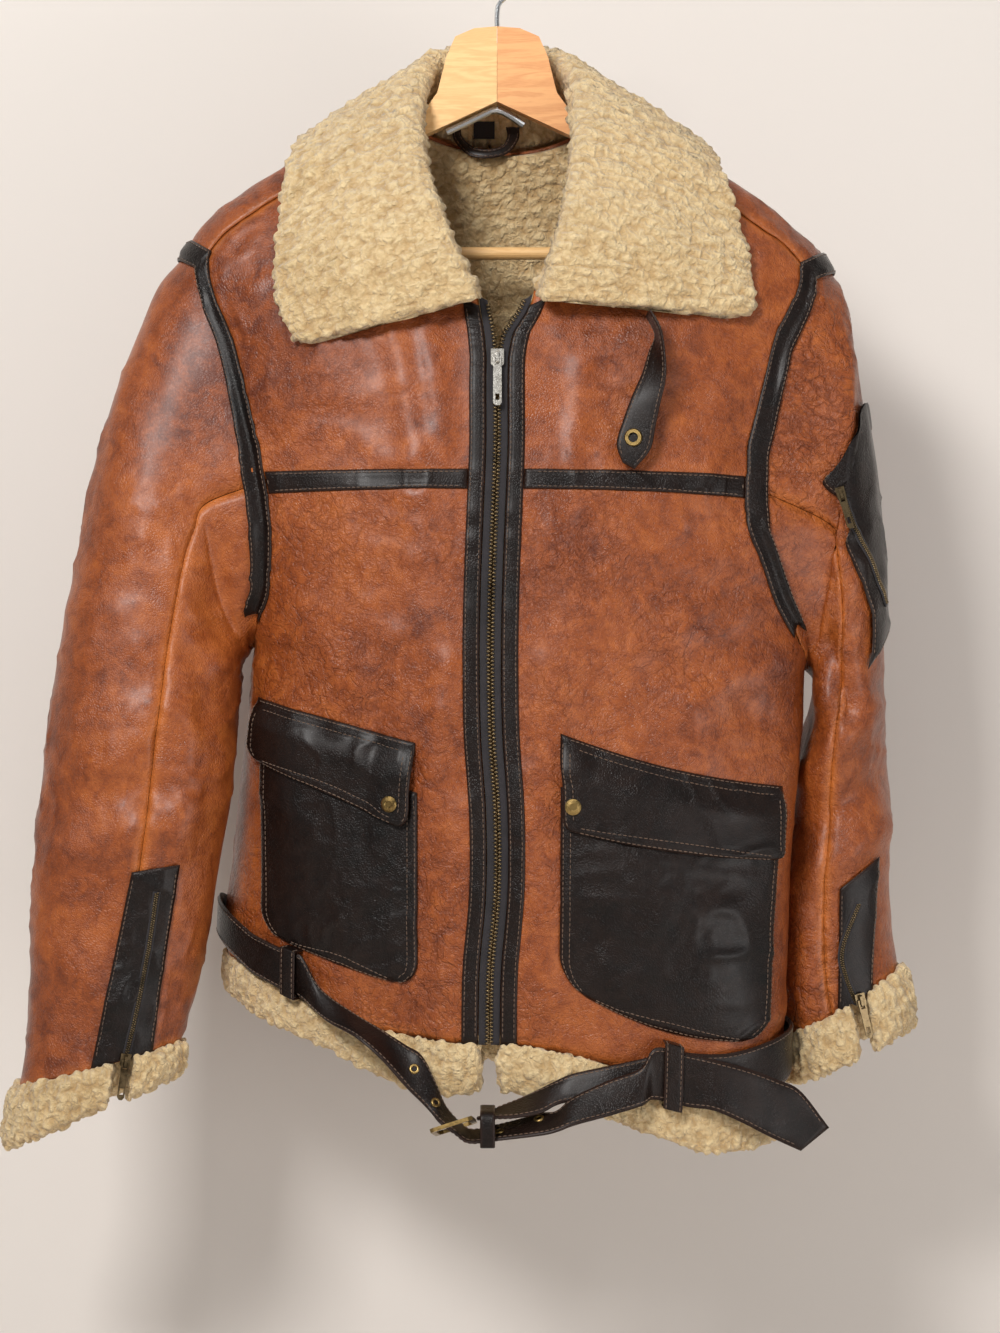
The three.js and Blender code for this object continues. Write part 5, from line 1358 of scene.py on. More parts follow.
@dataclass
class Panels:
    """The leather shell: front panels, back panel and sleeves."""

    shop: Shop
    rows_in_all: int = 136
    across: int = 60

    def front(self, side: Side, low: float, high: float, name: str) -> None:
        """One front panel between two rows.

        Args:
            side: Left or right.
            low: Lowest row.
            high: Highest row.
            name: The node's name.
        """
        count = int(self.rows_in_all * (high - low) / NECK)
        row = np.linspace(low, high, count)
        edge = side.sign * (90 - front_limit(row, side) - SEAM_TURN)
        u = span(BODY.beside_zip(row, side, PLACKET[0]), edge, self.across)
        grid, _ = faced(dented(BODY, u, spread(row, u)), FORWARD)
        soft = seam(grid, "lrtb")
        wall = Wall(crumple=0.75 if low == 0 else 0.4)
        wall.add(soft, walls(soft, LEATHER), worn(grid) * 0.8)
        self.shop.fit(wall, f"leather_{name}", [name], "tan", "leather_tan", "hung", HUNG_ON)

    def back(self) -> None:
        """The back panel, which comes forward over the shoulders."""
        wall = Wall()
        low = np.linspace(0, TOP_ROW, 84)
        edge = 90 + np.where(low <= PIT_ROW, 0, armhole_edge(low, 3)) + SEAM_TURN
        high = np.linspace(TOP_ROW, NECK, 32)
        top = np.full(high.shape, edge[-1])
        shoulder = np.full(high.shape, SHOULDER_SEAM + 2 * SEAM_TURN)
        blocks = ((low, edge, 360 - edge, 96, "lrt"), (high, top, 360 - top, 96, "b"),
                  (high, shoulder, top, 24, "r"), (high, 360 - top, 360 - shoulder, 24, "l"))
        for row, start, end, count, sides in blocks:
            u = span(start, end, count)
            grid = dented(BODY, u, spread(row, u))[:, ::-1]
            # the columns run backwards, so the normals point in
            wall.add(grid, walls(grid, -LEATHER), worn(grid, sides) * 0.5)
        self.shop.fit(wall, "leather_back", ["back_panel"], "tan", "leather_tan", "hung", HUNG_ON)

    def sleeve(self, side: Side, start: float, end: float, name: str) -> None:
        """One half of a sleeve between two turns.

        Args:
            side: Left or right.
            start: First turn.
            end: Last turn.
            name: The node's name.
        """
        host = ARMS[side]
        ring = np.concatenate([np.linspace(0, 1, 12)[:-1], np.linspace(1, host.last, 100)])
        turn = np.linspace(start, end, 68 if end - start > 180 else 56)
        u, v = np.meshgrid(turn, ring)
        grid, out = faced(dented(host, u, v), host.facing(u, v))
        far = rim(grid, "lr")
        bend = -1.3 * (1 - smooth(far / 4.5)) + 0.6 * np.exp(-(((far - 9) / 4) ** 2))
        grid = grid + out * bend[..., None]
        wall = Wall(crumple=0.3 if side is Side.LEFT else 0.95)
        wall.add(grid, grid - out * LEATHER, worn(grid) * 0.8)
        self.shop.fit(wall, f"leather_{name}", [name], "tan", "leather_tan", "hung", ["back_panel"])

    def build(self) -> None:
        """Builds all of the panels."""
        for side in Side:
            self.front(side, 0, CHEST_ROW - SEAM_ROWS, f"front_{side.value}_lower")
            self.front(side, CHEST_ROW + SEAM_ROWS, NECK, f"front_{side.value}_upper")
            for half, (start, end) in SLEEVE_HALVES.items():
                self.sleeve(side, start, end, f"sleeve_{side.value}_{half}")
        self.back()


@dataclass
class Trims:
    """Dark leather sewn on: strips, plackets, pockets and flaps, with their stitching."""

    shop: Shop
    stitches: Beads = field(default_factory=Beads)

    def lay(self, grid: Points, out: Points, name: str, on: Sequence[str], wall: float = TRIM,
            held: str = "laid", insets: Sequence[float] = (2.6,), sides: str = "lrtb") -> Points:
        """Lays a strip down: rounds its edges, stitches it and builds it.

        Args:
            grid: (rows, columns, 3) points of its upper skin.
            out: Outward directions there.
            name: The node's name.
            on: What it lies on.
            wall: Its thickness.
            held: How it is held.
            insets: Distances of the stitches from the edge.
            sides: Sides with stitches.

        Returns:
            The upper skin.
        """
        turned, out = faced(grid, out)
        if turned is not grid:
            grid, sides = turned, sides.translate(str.maketrans("lr", "rl"))
        far = rim(grid)
        drop = 0.75 * wall * (1 - rounded(far, 1.5)) + dips(far, insets, 0.4)
        upper = grid - out * drop[..., None]
        made = Wall()
        made.add(upper, grid - out * wall, worn(grid, wide=1.6))
        self.shop.fit(made, f"leather_{name}", [name], "dark", "leather_dark", held, on)
        self.stitches.edge(upper, sides, insets)
        return upper

    def on_body(self, u: Points, v: Points, high: Points | float) -> tuple[Points, Points]:
        """A grid over the body's leather."""
        return dented(BODY, u, v, high), BODY.facing(u, v)

    def chest(self, side: Side) -> None:
        """The strip along the chest seam.

        Args:
            side: Left or right.
        """
        half = STRIP_HALF / CHEST_PITCH
        row = np.linspace(CHEST_ROW + half, CHEST_ROW - half, 13)
        edge = 90 - armhole_edge(row, side.column)
        seam_at = BODY.surface(side.sign * edge, row)
        tries = side.sign * (edge[:, None] - np.linspace(0, 12, 241))
        away = np.linalg.norm(BODY.surface(tries, spread(row, tries)) - seam_at[:, None], axis=-1)
        stop = tries[np.arange(len(row)), np.argmax(away >= STRIP_HALF + 1, axis=1)]
        u = span(BODY.beside_zip(row, side, PLACKET[1] + SEAM_GAP), stop, 84)
        grid, out = self.on_body(u, spread(row, u), LIFT + TRIM)
        self.lay(grid, out, f"chest_strip_{side.value}", [f"front_{side.value}_upper"])

    def placket(self, side: Side) -> None:
        """The band beside the zip.

        Args:
            side: Left or right.
        """
        row = np.linspace(0, PLACKET_TOP, 200)
        u = span(BODY.beside_zip(row, side, PLACKET[0]), BODY.beside_zip(row, side, PLACKET[1]), 11)
        wave = 0.5 * WRINKLE.noise(np.stack([row * 5, row * 0, row * 0], -1))[:, None]
        grid, out = self.on_body(u, spread(row, u), SEAM_GAP + TRIM + 0.4 + wave)
        self.lay(grid, out, f"placket_strip_{side.value}", [f"front_{side.value}_lower"], insets=(2.4,),
                 sides="lr")

    def armhole(self, side: Side) -> None:
        """The strip over the armhole's seam, half on the torso and half on the sleeve.

        Args:
            side: Left or right.
        """
        host = ARMS[side]
        turn = np.linspace(48 - 180, 180 - 34, 160)
        angle, row = armhole_place(side, turn)
        base = BODY.surface(angle, row)
        seam_out = unit(BODY.facing(angle, row) + host.facing(turn, np.full_like(turn, 0.5)))
        ways = np.linspace(0, 3, 301)
        torso_u = side.sign * 90 + (angle - side.sign * 90)[:, None] * (1 + ways)
        torso_v = CHEST_ROW + (row - CHEST_ROW)[:, None] * (1 + ways)
        far = np.linalg.norm(BODY.surface(torso_u, torso_v) - base[:, None], axis=-1)
        hit = np.argmax(far >= STRIP_HALF, axis=1)
        pick = np.arange(len(turn))
        u, v = torso_u[pick, hit], torso_v[pick, hit]
        points = [(dented(BODY, u, v), BODY.facing(u, v)), (base, seam_out)]
        arm_v = np.broadcast_to(ways, (len(turn), len(ways)))
        far = np.linalg.norm(host.surface(spread(turn, arm_v), arm_v) - base[:, None], axis=-1)
        for share in (0.5, 1.0):
            hit = np.argmax(far >= STRIP_HALF * share, axis=1)
            points.append((dented(host, turn, ways[hit]), host.facing(turn, ways[hit])))
        rise = 0.6 + 2.4 * smooth((np.abs(turn) - 90) / 50)
        lows = [LIFT + 0.5 + 0 * rise, LIFT + rise + 0.7, LIFT + rise + 0.9, LIFT + rise + 0.4]
        rows = np.stack([p + n * (low + TRIM)[:, None] for (p, n), low in zip(points, lows)])
        outs = np.stack([n for _, n in points])
        at = np.interp(np.linspace(0, 1, 13), [0, 0.5, 0.75, 1], [0, 1, 2, 3])
        grid = np.swapaxes(along(rows, at), 0, 1)
        out = unit(np.swapaxes(along(outs, at), 0, 1))
        self.lay(grid, out, f"armhole_strip_{side.value}", [f"sleeve_{side.value}_outer"],
                 insets=(2.4,), sides="lr")

    def build(self) -> None:
        """Builds the strips and the pockets."""
        for side in Side:
            self.placket(side)
            self.chest(side)
            self.armhole(side)
            self.pocket(side)
            self.cuff(side)
        self.arm_pocket()
        self.stitches.build(self.shop, "trim_stitches", "thread", "leather_dark")

    def pocket(self, side: Side) -> None:
        """The patch pocket's bag and its flap.

        Args:
            side: Left or right.
        """
        facts = POCKETS[side]
        a, b = square(64, 60)
        flat = facts.bag.flat(a, b)
        u, v = BODY.locate(flat)
        bulge = LIFT + 2.6 + 4 * np.sin(np.pi * a) ** 0.7 * np.sin(np.pi * b) ** 0.7
        inside = np.clip(np.minimum(np.minimum(a, 1 - a), 1 - b) / 0.12, 0, 1)
        crumple = rumple(stack(flat[..., 0] * 1.7, 0, flat[..., 1] * 1.7) + 300, 1.3) * inside
        grid, out = self.on_body(u, v, bulge + np.clip(crumple, -2, 1.6))
        self.lay(grid, out, f"pocket_{side.value}", [f"front_{side.value}_lower"], wall=2.4,
                 insets=(2.6, 8.5), sides="lrb")
        a, b = square(76, 36)
        u, v = BODY.locate(facts.flap.flat(a, b))
        over = LIFT + 2.6 + 4 + 0.5
        low = LIFT + (over - LIFT) * smooth(b / 0.45)
        wave = 0.8 * np.sin(a * 7.5 + side.sign) * b * np.clip(np.abs(a - facts.snap) / 0.2, 0, 1)
        grid, out = self.on_body(u, v, low + 2.4 + np.clip(wave, -0.4, 0.8))
        self.lay(grid, out, f"pocket_flap_{side.value}", [f"front_{side.value}_lower"], wall=2.2,
                 insets=(2.6, 8.5))

    def cuff(self, side: Side) -> None:
        """The placket under the cuff's zip.

        Args:
            side: Left or right.
        """
        host = ARMS[side]
        a, b = square(20, 64)
        u, v = host.locate(CUFFS[side].placket.flat(a, b))
        grid = dented(host, u, v, CUFF_LIFT)
        self.lay(grid, host.facing(u, v), f"cuff_placket_{side.value}", [f"sleeve_{side.value}_outer"],
                 sides="lr")

    def arm_pocket(self) -> None:
        """The pocket on the right sleeve."""
        host = ARMS[Side.RIGHT]
        front = np.array([[281, -386], [266, -408], [255, -429], [262, -452], [268, -470], [276, -493],
                          [287, -534], [284, -566]], float)
        at = stack(*host.locate(front))
        a, b = square(56, 64)
        start = along(at, b * 7)
        end = stack(-38, 3.4 + (6.4 - 3.4) * b)
        place = start + (end - start) * a[..., None]
        v = place[..., 1] + 0.36 * np.sin(np.pi * a) * (1 - b)
        pens = 0.9 * np.sin(a * 19 + 0.6) * smooth(1 - np.abs(a - 0.45) * 3) * smooth(1.2 - b)
        grid = dented(host, place[..., 0], v, 2.6 + TRIM + np.clip(pens, -0.3, 0.9))
        self.lay(grid, host.facing(place[..., 0], v), "arm_pocket", ["sleeve_right_outer"],
                 insets=(2.6,), sides="lrtb")


@dataclass(frozen=True)
class Outline:
    """Four corners in the front view, from the upper left clockwise, with soft lower corners."""

    corners: tuple[tuple[float, float], ...]
    top_bow: float = 0.0
    low_bow: float = 0.0
    radius: float = 0.1

    def flat(self, a: Points, b: Points) -> Points:
        """Places of the front view over a unit square.

        Args:
            a: Shares across.
            b: Shares down.

        Returns:
            x and z of each place.
        """
        tl, tr, lr, ll = (np.array(c, float) for c in self.corners)
        width, height = np.linalg.norm(tr - tl), np.linalg.norm(ll - tl)
        t = np.clip((b - 1 + self.radius / height) / (self.radius / height), 0, 1)
        narrow = 1 - (2 * self.radius / width) * (1 - np.sqrt(1 - t * t))
        across = (0.5 + (a - 0.5) * narrow)[..., None]
        top, low = tl + (tr - tl) * across, ll + (lr - ll) * across
        flat = top + (low - top) * b[..., None]
        arch = (self.top_bow + (self.low_bow - self.top_bow) * b) * np.sin(np.pi * across[..., 0])
        return flat - stack(0 * arch, arch)


@dataclass(frozen=True)
class Pocket:
    """A patch pocket: its bag, its flap and where the snap sits across the flap."""

    bag: Outline
    flap: Outline
    snap: float


@dataclass(frozen=True)
class Cuff:
    """A cuff's placket, the line of its zip and the place of the zip's slider."""

    placket: Outline
    teeth: tuple[tuple[float, float], ...]
    slider: tuple[float, float]


POCKETS = {
    Side.LEFT: Pocket(
        Outline(((-182, -622), (-60, -660), (-60, -810), (-184, -769)), 0, 3, 20),
        Outline(((-183, -588), (-61, -622), (-66, -689), (-188, -633)), 1, 0, 10), 0.87),
    Side.RIGHT: Pocket(
        Outline(((48, -655), (214, -692), (206, -850), (47, -803)), 4, 14, 22),
        Outline(((48, -615), (217, -656), (212, -712), (49, -687)), 6, 5, 8), 0.06),
}
CUFFS = {
    Side.LEFT: Cuff(Outline(((-279, -721), (-244, -715), (-266, -864), (-311, -874))),
                    ((-261, -736), (-267, -778), (-277, -829), (-286, -868)), (-287.5, -874.0)),
    Side.RIGHT: Cuff(Outline(((266, -737), (296, -712), (292, -817), (265, -838))),
                     ((280, -748), (268, -784), (271, -806), (280, -829)), (283.0, -834.0)),
}


@dataclass
class Pile:
    """Sherpa pieces: bands and the lining, raised into curls."""

    shop: Shop

    @staticmethod
    def raised(grid: Points, curl: float, high: float) -> tuple[Points, Points]:
        """Raises a tube's skin into curls.

        Args:
            grid: (rows, columns, 3) points, facing out.
            curl: Size of a curl.
            high: Height of the pile.

        Returns:
            The raised skin and the curls' tones.
        """
        wide = np.concatenate([grid[:, -3:-1], grid, grid[:, 1:3]], axis=1)
        out = grid_normals(wide)[:, 2:-2]
        lift, tone = pile(grid, curl, high)
        swell = 1.2 * WRINKLE.noise(grid / 26)
        return grid + out * (lift - 0.35 * high + swell)[..., None], tone

    def hang(self, name: str, base: Points, ways: tuple[Points, Points], profile: Sequence[Sequence[float]],
             drop: Points, on: str, size: tuple[int, float, float]) -> None:
        """Hangs a band from an edge: a profile out from it, carried along it.

        Args:
            name: The node's name.
            base: Points of the edge.
            ways: Outward directions there, and the way down.
            profile: Rows of distance out, distance down and share of the drop.
            drop: How far the band hangs down at each point.
            on: What it hangs from.
            size: Points on the profile, size of a curl and height of the pile.
        """
        out, down = ways
        count, curl, high = size
        far, below, share = along(profile, np.linspace(0, 8, count)).T
        sections = (base[:, None] + out[:, None] * far[None, :, None]
                    + down * (below + drop[:, None] * share)[..., None])
        self.band(name, sections, on, curl, high)

    def band(self, name: str, sections: Points, on: str, curl: float, high: float) -> None:
        """A rounded band through closed sections, whose ends are closed by a small cap.

        Args:
            name: The node's name.
            sections: (stations, points, 3), each a closed loop whose last point is its first.
            on: What it hangs from.
            curl: Size of a curl.
            high: Height of the pile.
        """
        middle = sections[:, :-1].mean(axis=1, keepdims=True)
        ends = []
        for index, away in ((0, -1), (-1, 1)):
            step = unit(middle[index] - middle[index - away * 4 if away > 0 else 4])[None] * high * 0.8
            caps = [middle[index] + (sections[index] - middle[index]) * s + step[0] * (1 - s * s)
                    for s in ((0.03, 0.35, 0.7, 0.92) if away < 0 else (0.92, 0.7, 0.35, 0.03))]
            ends.append(np.stack(caps))
        whole = np.concatenate([ends[0], sections, ends[1]])
        out = grid_normals(whole)
        if np.sum(out * (whole - whole[:, :-1].mean(axis=1, keepdims=True))) < 0:
            whole = whole[:, ::-1]
        skin, tone = self.raised(whole, curl, high)
        self.finish(name, skin, tone, on)

    def finish(self, name: str, skin: Points, tone: Points, on: str) -> None:
        """Builds a closed tube of fleece.

        Args:
            name: The node's name.
            skin: (stations, points, 3) closed loops.
            tone: The curls' tones.
            on: What it lies on; not used.
        """
        skin = skin.copy()
        skin[:, -1] = skin[:, 0]
        rows, columns = skin.shape[0], skin.shape[1] - 1
        ids = np.arange(rows * columns).reshape(rows, columns)
        ring = np.concatenate([ids, ids[:, :1]], axis=1)
        corners = (ring[:-1, :-1], ring[:-1, 1:], ring[1:, 1:], ring[1:, :-1])
        quads = [np.stack([c.ravel() for c in corners], 1)]
        half = columns // 2
        for loop in (ring[0], ring[-1][::-1]):
            low, high = loop[:half + 1], loop[columns - half:][::-1]
            quads.append(np.stack([low[:-1], high[:-1], high[1:], low[1:]], 1)[1:-1])
        faces = np.concatenate(quads)
        faces = faces[[len(set(f)) == 4 for f in faces.tolist()]]
        points = skin[:, :-1].reshape(-1, 3)
        made = make_object(f"fleece_{name}", points, faces, self.shop.finish["sherpa"],
                           tone=tone[:, :-1].ravel())
        self.shop.keep(made, "sherpa", name)
        spans = lengths(skin, 0)[-1].mean(), lengths(skin, 1)[:, -1].mean() / 2

    def hem(self) -> None:
        """The band below the leather's hem, open at the zip."""
        profile = ((0.5, 1.2, 0), (3, 1.6, 0), (4, 0, 0.55), (1, 0, 0.95), (-4, 0, 1),
                   (-9, 0, 0.92), (-11.5, 0, 0.5), (-12, 1.2, 0), (0.5, 1.2, 0))
        drops = np.array([[0, 33], [20, 39], [45, 46], [90, 42], [180, 40], [270, 31], [323, 30],
                          [347, 43], [360, 34]], float)
        zero = np.array(0.0)
        start = float(BODY.beside_zip(zero, Side.RIGHT, 9))
        end = 360 + float(BODY.beside_zip(zero, Side.LEFT, 9))
        theta = np.linspace(start, end, 620)
        base = BODY.surface(theta, 0 * theta)
        out = unit(BODY.facing(theta, 0 * theta) * np.array([1, 1, 0]))
        drop = np.interp(theta, drops[:, 0], drops[:, 1])
        drop = drop + 1.6 * WRINKLE.noise(stack(theta / 14, 3.3, 0.0))
        self.hang("hem_sherpa", base, (out, DOWN), profile, drop, "back_panel", (45, 8.5, 4.2))

    def cuff(self, side: Side) -> None:
        """The band at a sleeve's end, open at the cuff's zip.

        Args:
            side: Left or right.
        """
        host = ARMS[side]
        profile = ((0, 0.4, 0), (5, 0.2, 0), (8, 0, 0.4), (6, 0, 0.85), (0, 0, 1),
                   (-7, 0, 0.9), (-10, 0, 0.45), (-10, 0.4, 0), (0, 0.4, 0))
        slit, _ = host.locate(np.array(CUFFS[side].slider))
        last = host.last
        ends = [host.surface(np.array([0.0, 180.0]), np.full(2, v)).mean(axis=0) for v in (last, last - 1)]
        down = unit(ends[0] - ends[1])
        turn = float(slit) + np.linspace(8.5, 351.5, 340)
        base = host.surface(turn, np.full_like(turn, last))
        own = host.facing(turn, np.full_like(turn, last - 0.1))
        out = unit(own - down * (own @ down)[:, None])
        least = 26 if side is Side.LEFT else 34
        fall = np.interp(turn % 360, [0, 180, 360], [50, least, 50])
        fall = fall + 1.2 * WRINKLE.noise(stack(turn / 16, 7.7, 0.0))
        self.hang(f"cuff_sherpa_{side.value}", base, (out, down), profile, fall,
                  f"sleeve_{side.value}_outer", (43, 8.0, 4.0))

    def lining(self) -> None:
        """The fleece inside the torso, which the neck and the hem show."""
        wall = Wall()
        low, high = np.linspace(0.1, TOP_ROW, 70), np.linspace(TOP_ROW, 12.96, 60)
        back_low = 90 + np.where(low <= PIT_ROW, 0, armhole_edge(low, 3))
        back_high = np.full(high.shape, back_low[-1])
        over = np.full(high.shape, float(SHOULDER_SEAM))
        blocks = [(low, back_low, 360 - back_low, 150), (high, back_high, 360 - back_high, 150),
                  (high, over, back_high, 36), (high, 360 - back_high, 360 - over, 36)]
        for side in Side:
            for row, count in ((low, 56), (high, 56)):
                start = BODY.beside_zip(row, side, 4.0)
                end = side.sign * (90 - front_limit(row, side))
                blocks.append((row, start % 360, end % 360, count))
        for row, start, end, count in blocks:
            u = span(start, end, count)
            v = spread(row, u)
            base, out = BODY.surface(u, v, True), BODY.facing(u, v, True)
            lift, tone = pile(base, 9.0, 3.4)
            sheet = base - out * LINING_GAP
            wall.add(sheet, base - out * (LINING_GAP + LINING_WALL - 1.2 + lift)[..., None], tone)
        self.shop.fit(wall, "fleece_lining", ["sherpa_lining"], "sherpa", "sherpa", "hung", HUNG_ON)

    def collar(self) -> None:
        """The collar: stand, roll and fall, from its left front end round the back."""
        curves = collar_curves()
        stations, points = 470, 150
        at = np.linspace(0, len(curves) - 1, stations)
        fine = np.linspace(0, 6, 241)
        reach = lengths(along(np.swapaxes(curves, 0, 1), fine).swapaxes(0, 1), 1).mean(axis=0)
        w = np.interp(np.linspace(0, reach[-1], points), reach, fine)
        middle = along(np.swapaxes(along(np.swapaxes(curves, 0, 1), w), 0, 1), at)
        out = grid_normals(middle)
        half = (COLLAR_SEAM + (COLLAR_WALL - COLLAR_SEAM) * smooth(w / 1.9)) / 2
        face, back = middle + out * half[:, None], middle - out * half[:, None]
        back = back[:, ::-1][:, ::5]
        turned = [middle[:, -1:] + (face[:, -1:] - middle[:, -1:]) * math.cos(t)
                  + unit(middle[:, -1:] - middle[:, -2:-1]) * half[-1] * math.sin(t)
                  for t in (0.6, 1.2, 1.9, 2.5)]
        loop = np.concatenate([face, *turned, back, face[:, :1]], axis=1)
        if np.sum(grid_normals(loop)[:, 30:60] * (face - middle)[:, 30:60]) < 0:
            loop = loop[:, ::-1]
        caps = []
        for index, inner in ((0, 6), (-1, -7)):
            step = unit(middle[index] - middle[inner]).mean(axis=0)
            tube = loop[index]
            pinch = [tube + (self.spine(tube) - tube) * (1 - s) + step * 4.0 * math.sqrt(1 - s * s)
                     for s in ((0.05, 0.4, 0.75, 0.94) if index == 0 else (0.94, 0.75, 0.4, 0.05))]
            caps.append(np.stack(pinch))
        whole = np.concatenate([caps[0], loop, caps[1]])
        skin, tone = self.raised(whole, 9.0, 4.6)
        self.finish("collar", skin, tone, "back_panel")

    @staticmethod
    def spine(tube: Points) -> Points:
        """The middle between a flat loop's two sides.

        Args:
            tube: A closed loop.

        Returns:
            For each point the middle between it and the point across the wall.
        """
        count = len(tube)
        near = np.linalg.norm(tube[:, None] - tube[None], axis=-1)
        gap = np.abs(np.arange(count)[:, None] - np.arange(count)[None])
        near[np.minimum(gap, count - gap) < count // 8] = 1e6
        return (tube + tube[np.argmin(near, axis=1)]) / 2

    def build(self) -> None:
        """Builds all of the fleece."""
        self.lining()
        self.hem()
        for side in Side:
            self.cuff(side)
        self.collar()


# neck angle, the roll's x, y, z and the edge's x, y, z; an edge with no y lies on the chest
COLLAR = np.array([
    [-14, -12, -96, -279, -150, np.nan, -313], [-35, -25, -99, -256, -162, np.nan, -290],
    [-55, -41, -90, -217, -166, np.nan, -252], [-72, -52, -68, -178, -164, np.nan, -218],
    [-90, -56, -38, -140, -160, -46, -184], [-106, -54, -8, -104, -152, 2, -150],
    [-127, -47, 24, -78, -126, 50, -156], [-152, -30, 46, -65, -80, 78, -162],
    [-180, 0, 55, -61, 0, 86, -164], [-208, 30, 46, -65, 82, 78, -163],
    [-233, 48, 24, -78, 130, 50, -158], [-254, 55, -8, -104, 158, 2, -153],
    [-270, 56, -38, -140, 174, -46, -190], [-288, 54, -68, -178, 184, np.nan, -226],
    [-305, 49, -90, -215, 191, np.nan, -254], [-325, 40, -99, -250, 194, np.nan, -277],
    [-343, 31, -96, -281, 192, np.nan, -292],
], float)
ROLL = (9.0, 7.0)  # the fold's depth and half of its inner width


def chest_depth(x: float, z: float) -> float:
    """How far forward the chest is at a place of the front view."""
    u, v = BODY.locate(np.array([x, z]))
    return float(BODY.surface(u, v)[1])


def collar_curves() -> Points:
    """The collar's section at each station.

    Returns:
        (stations, 7, 3) points: sewn edge, stand, roll, fall, belly and free edge.
    """
    rough = []
    for theta, *rest in COLLAR:
        roll, edge = np.array(rest[:3]), np.array(rest[3:])
        root, below = BODY.surface(np.full(2, theta), np.array([NECK, NECK - 0.3]))
        sewn = root + unit(root - below) * (SEAM_GAP + 2.5)
        if np.isnan(edge[1]):
            edge[1] = chest_depth(edge[0], edge[2]) - COLLAR_WALL / 2 - 2.5
        rough.append((sewn, roll, edge))
    curves = []
    for i, (sewn, roll, hem) in enumerate(rough):
        run = rough[min(i + 1, len(rough) - 1)][1] - rough[max(i - 1, 0)][1]
        apex = unit(roll - (sewn + hem) / 2)
        out = unit(np.cross(run, apex))
        out = -out if out @ (hem - sewn) < 0 else out
        top = roll - apex * COLLAR_WALL / 2
        stand = top - apex * ROLL[0] - out * ROLL[1]
        fall = top - apex * ROLL[0] + out * ROLL[1]
        belly = (fall + hem) / 2 + out * 5
        curves.append([sewn, sewn + (stand - sewn) * 0.55, stand, top, fall, belly, hem])
    return np.array(curves)


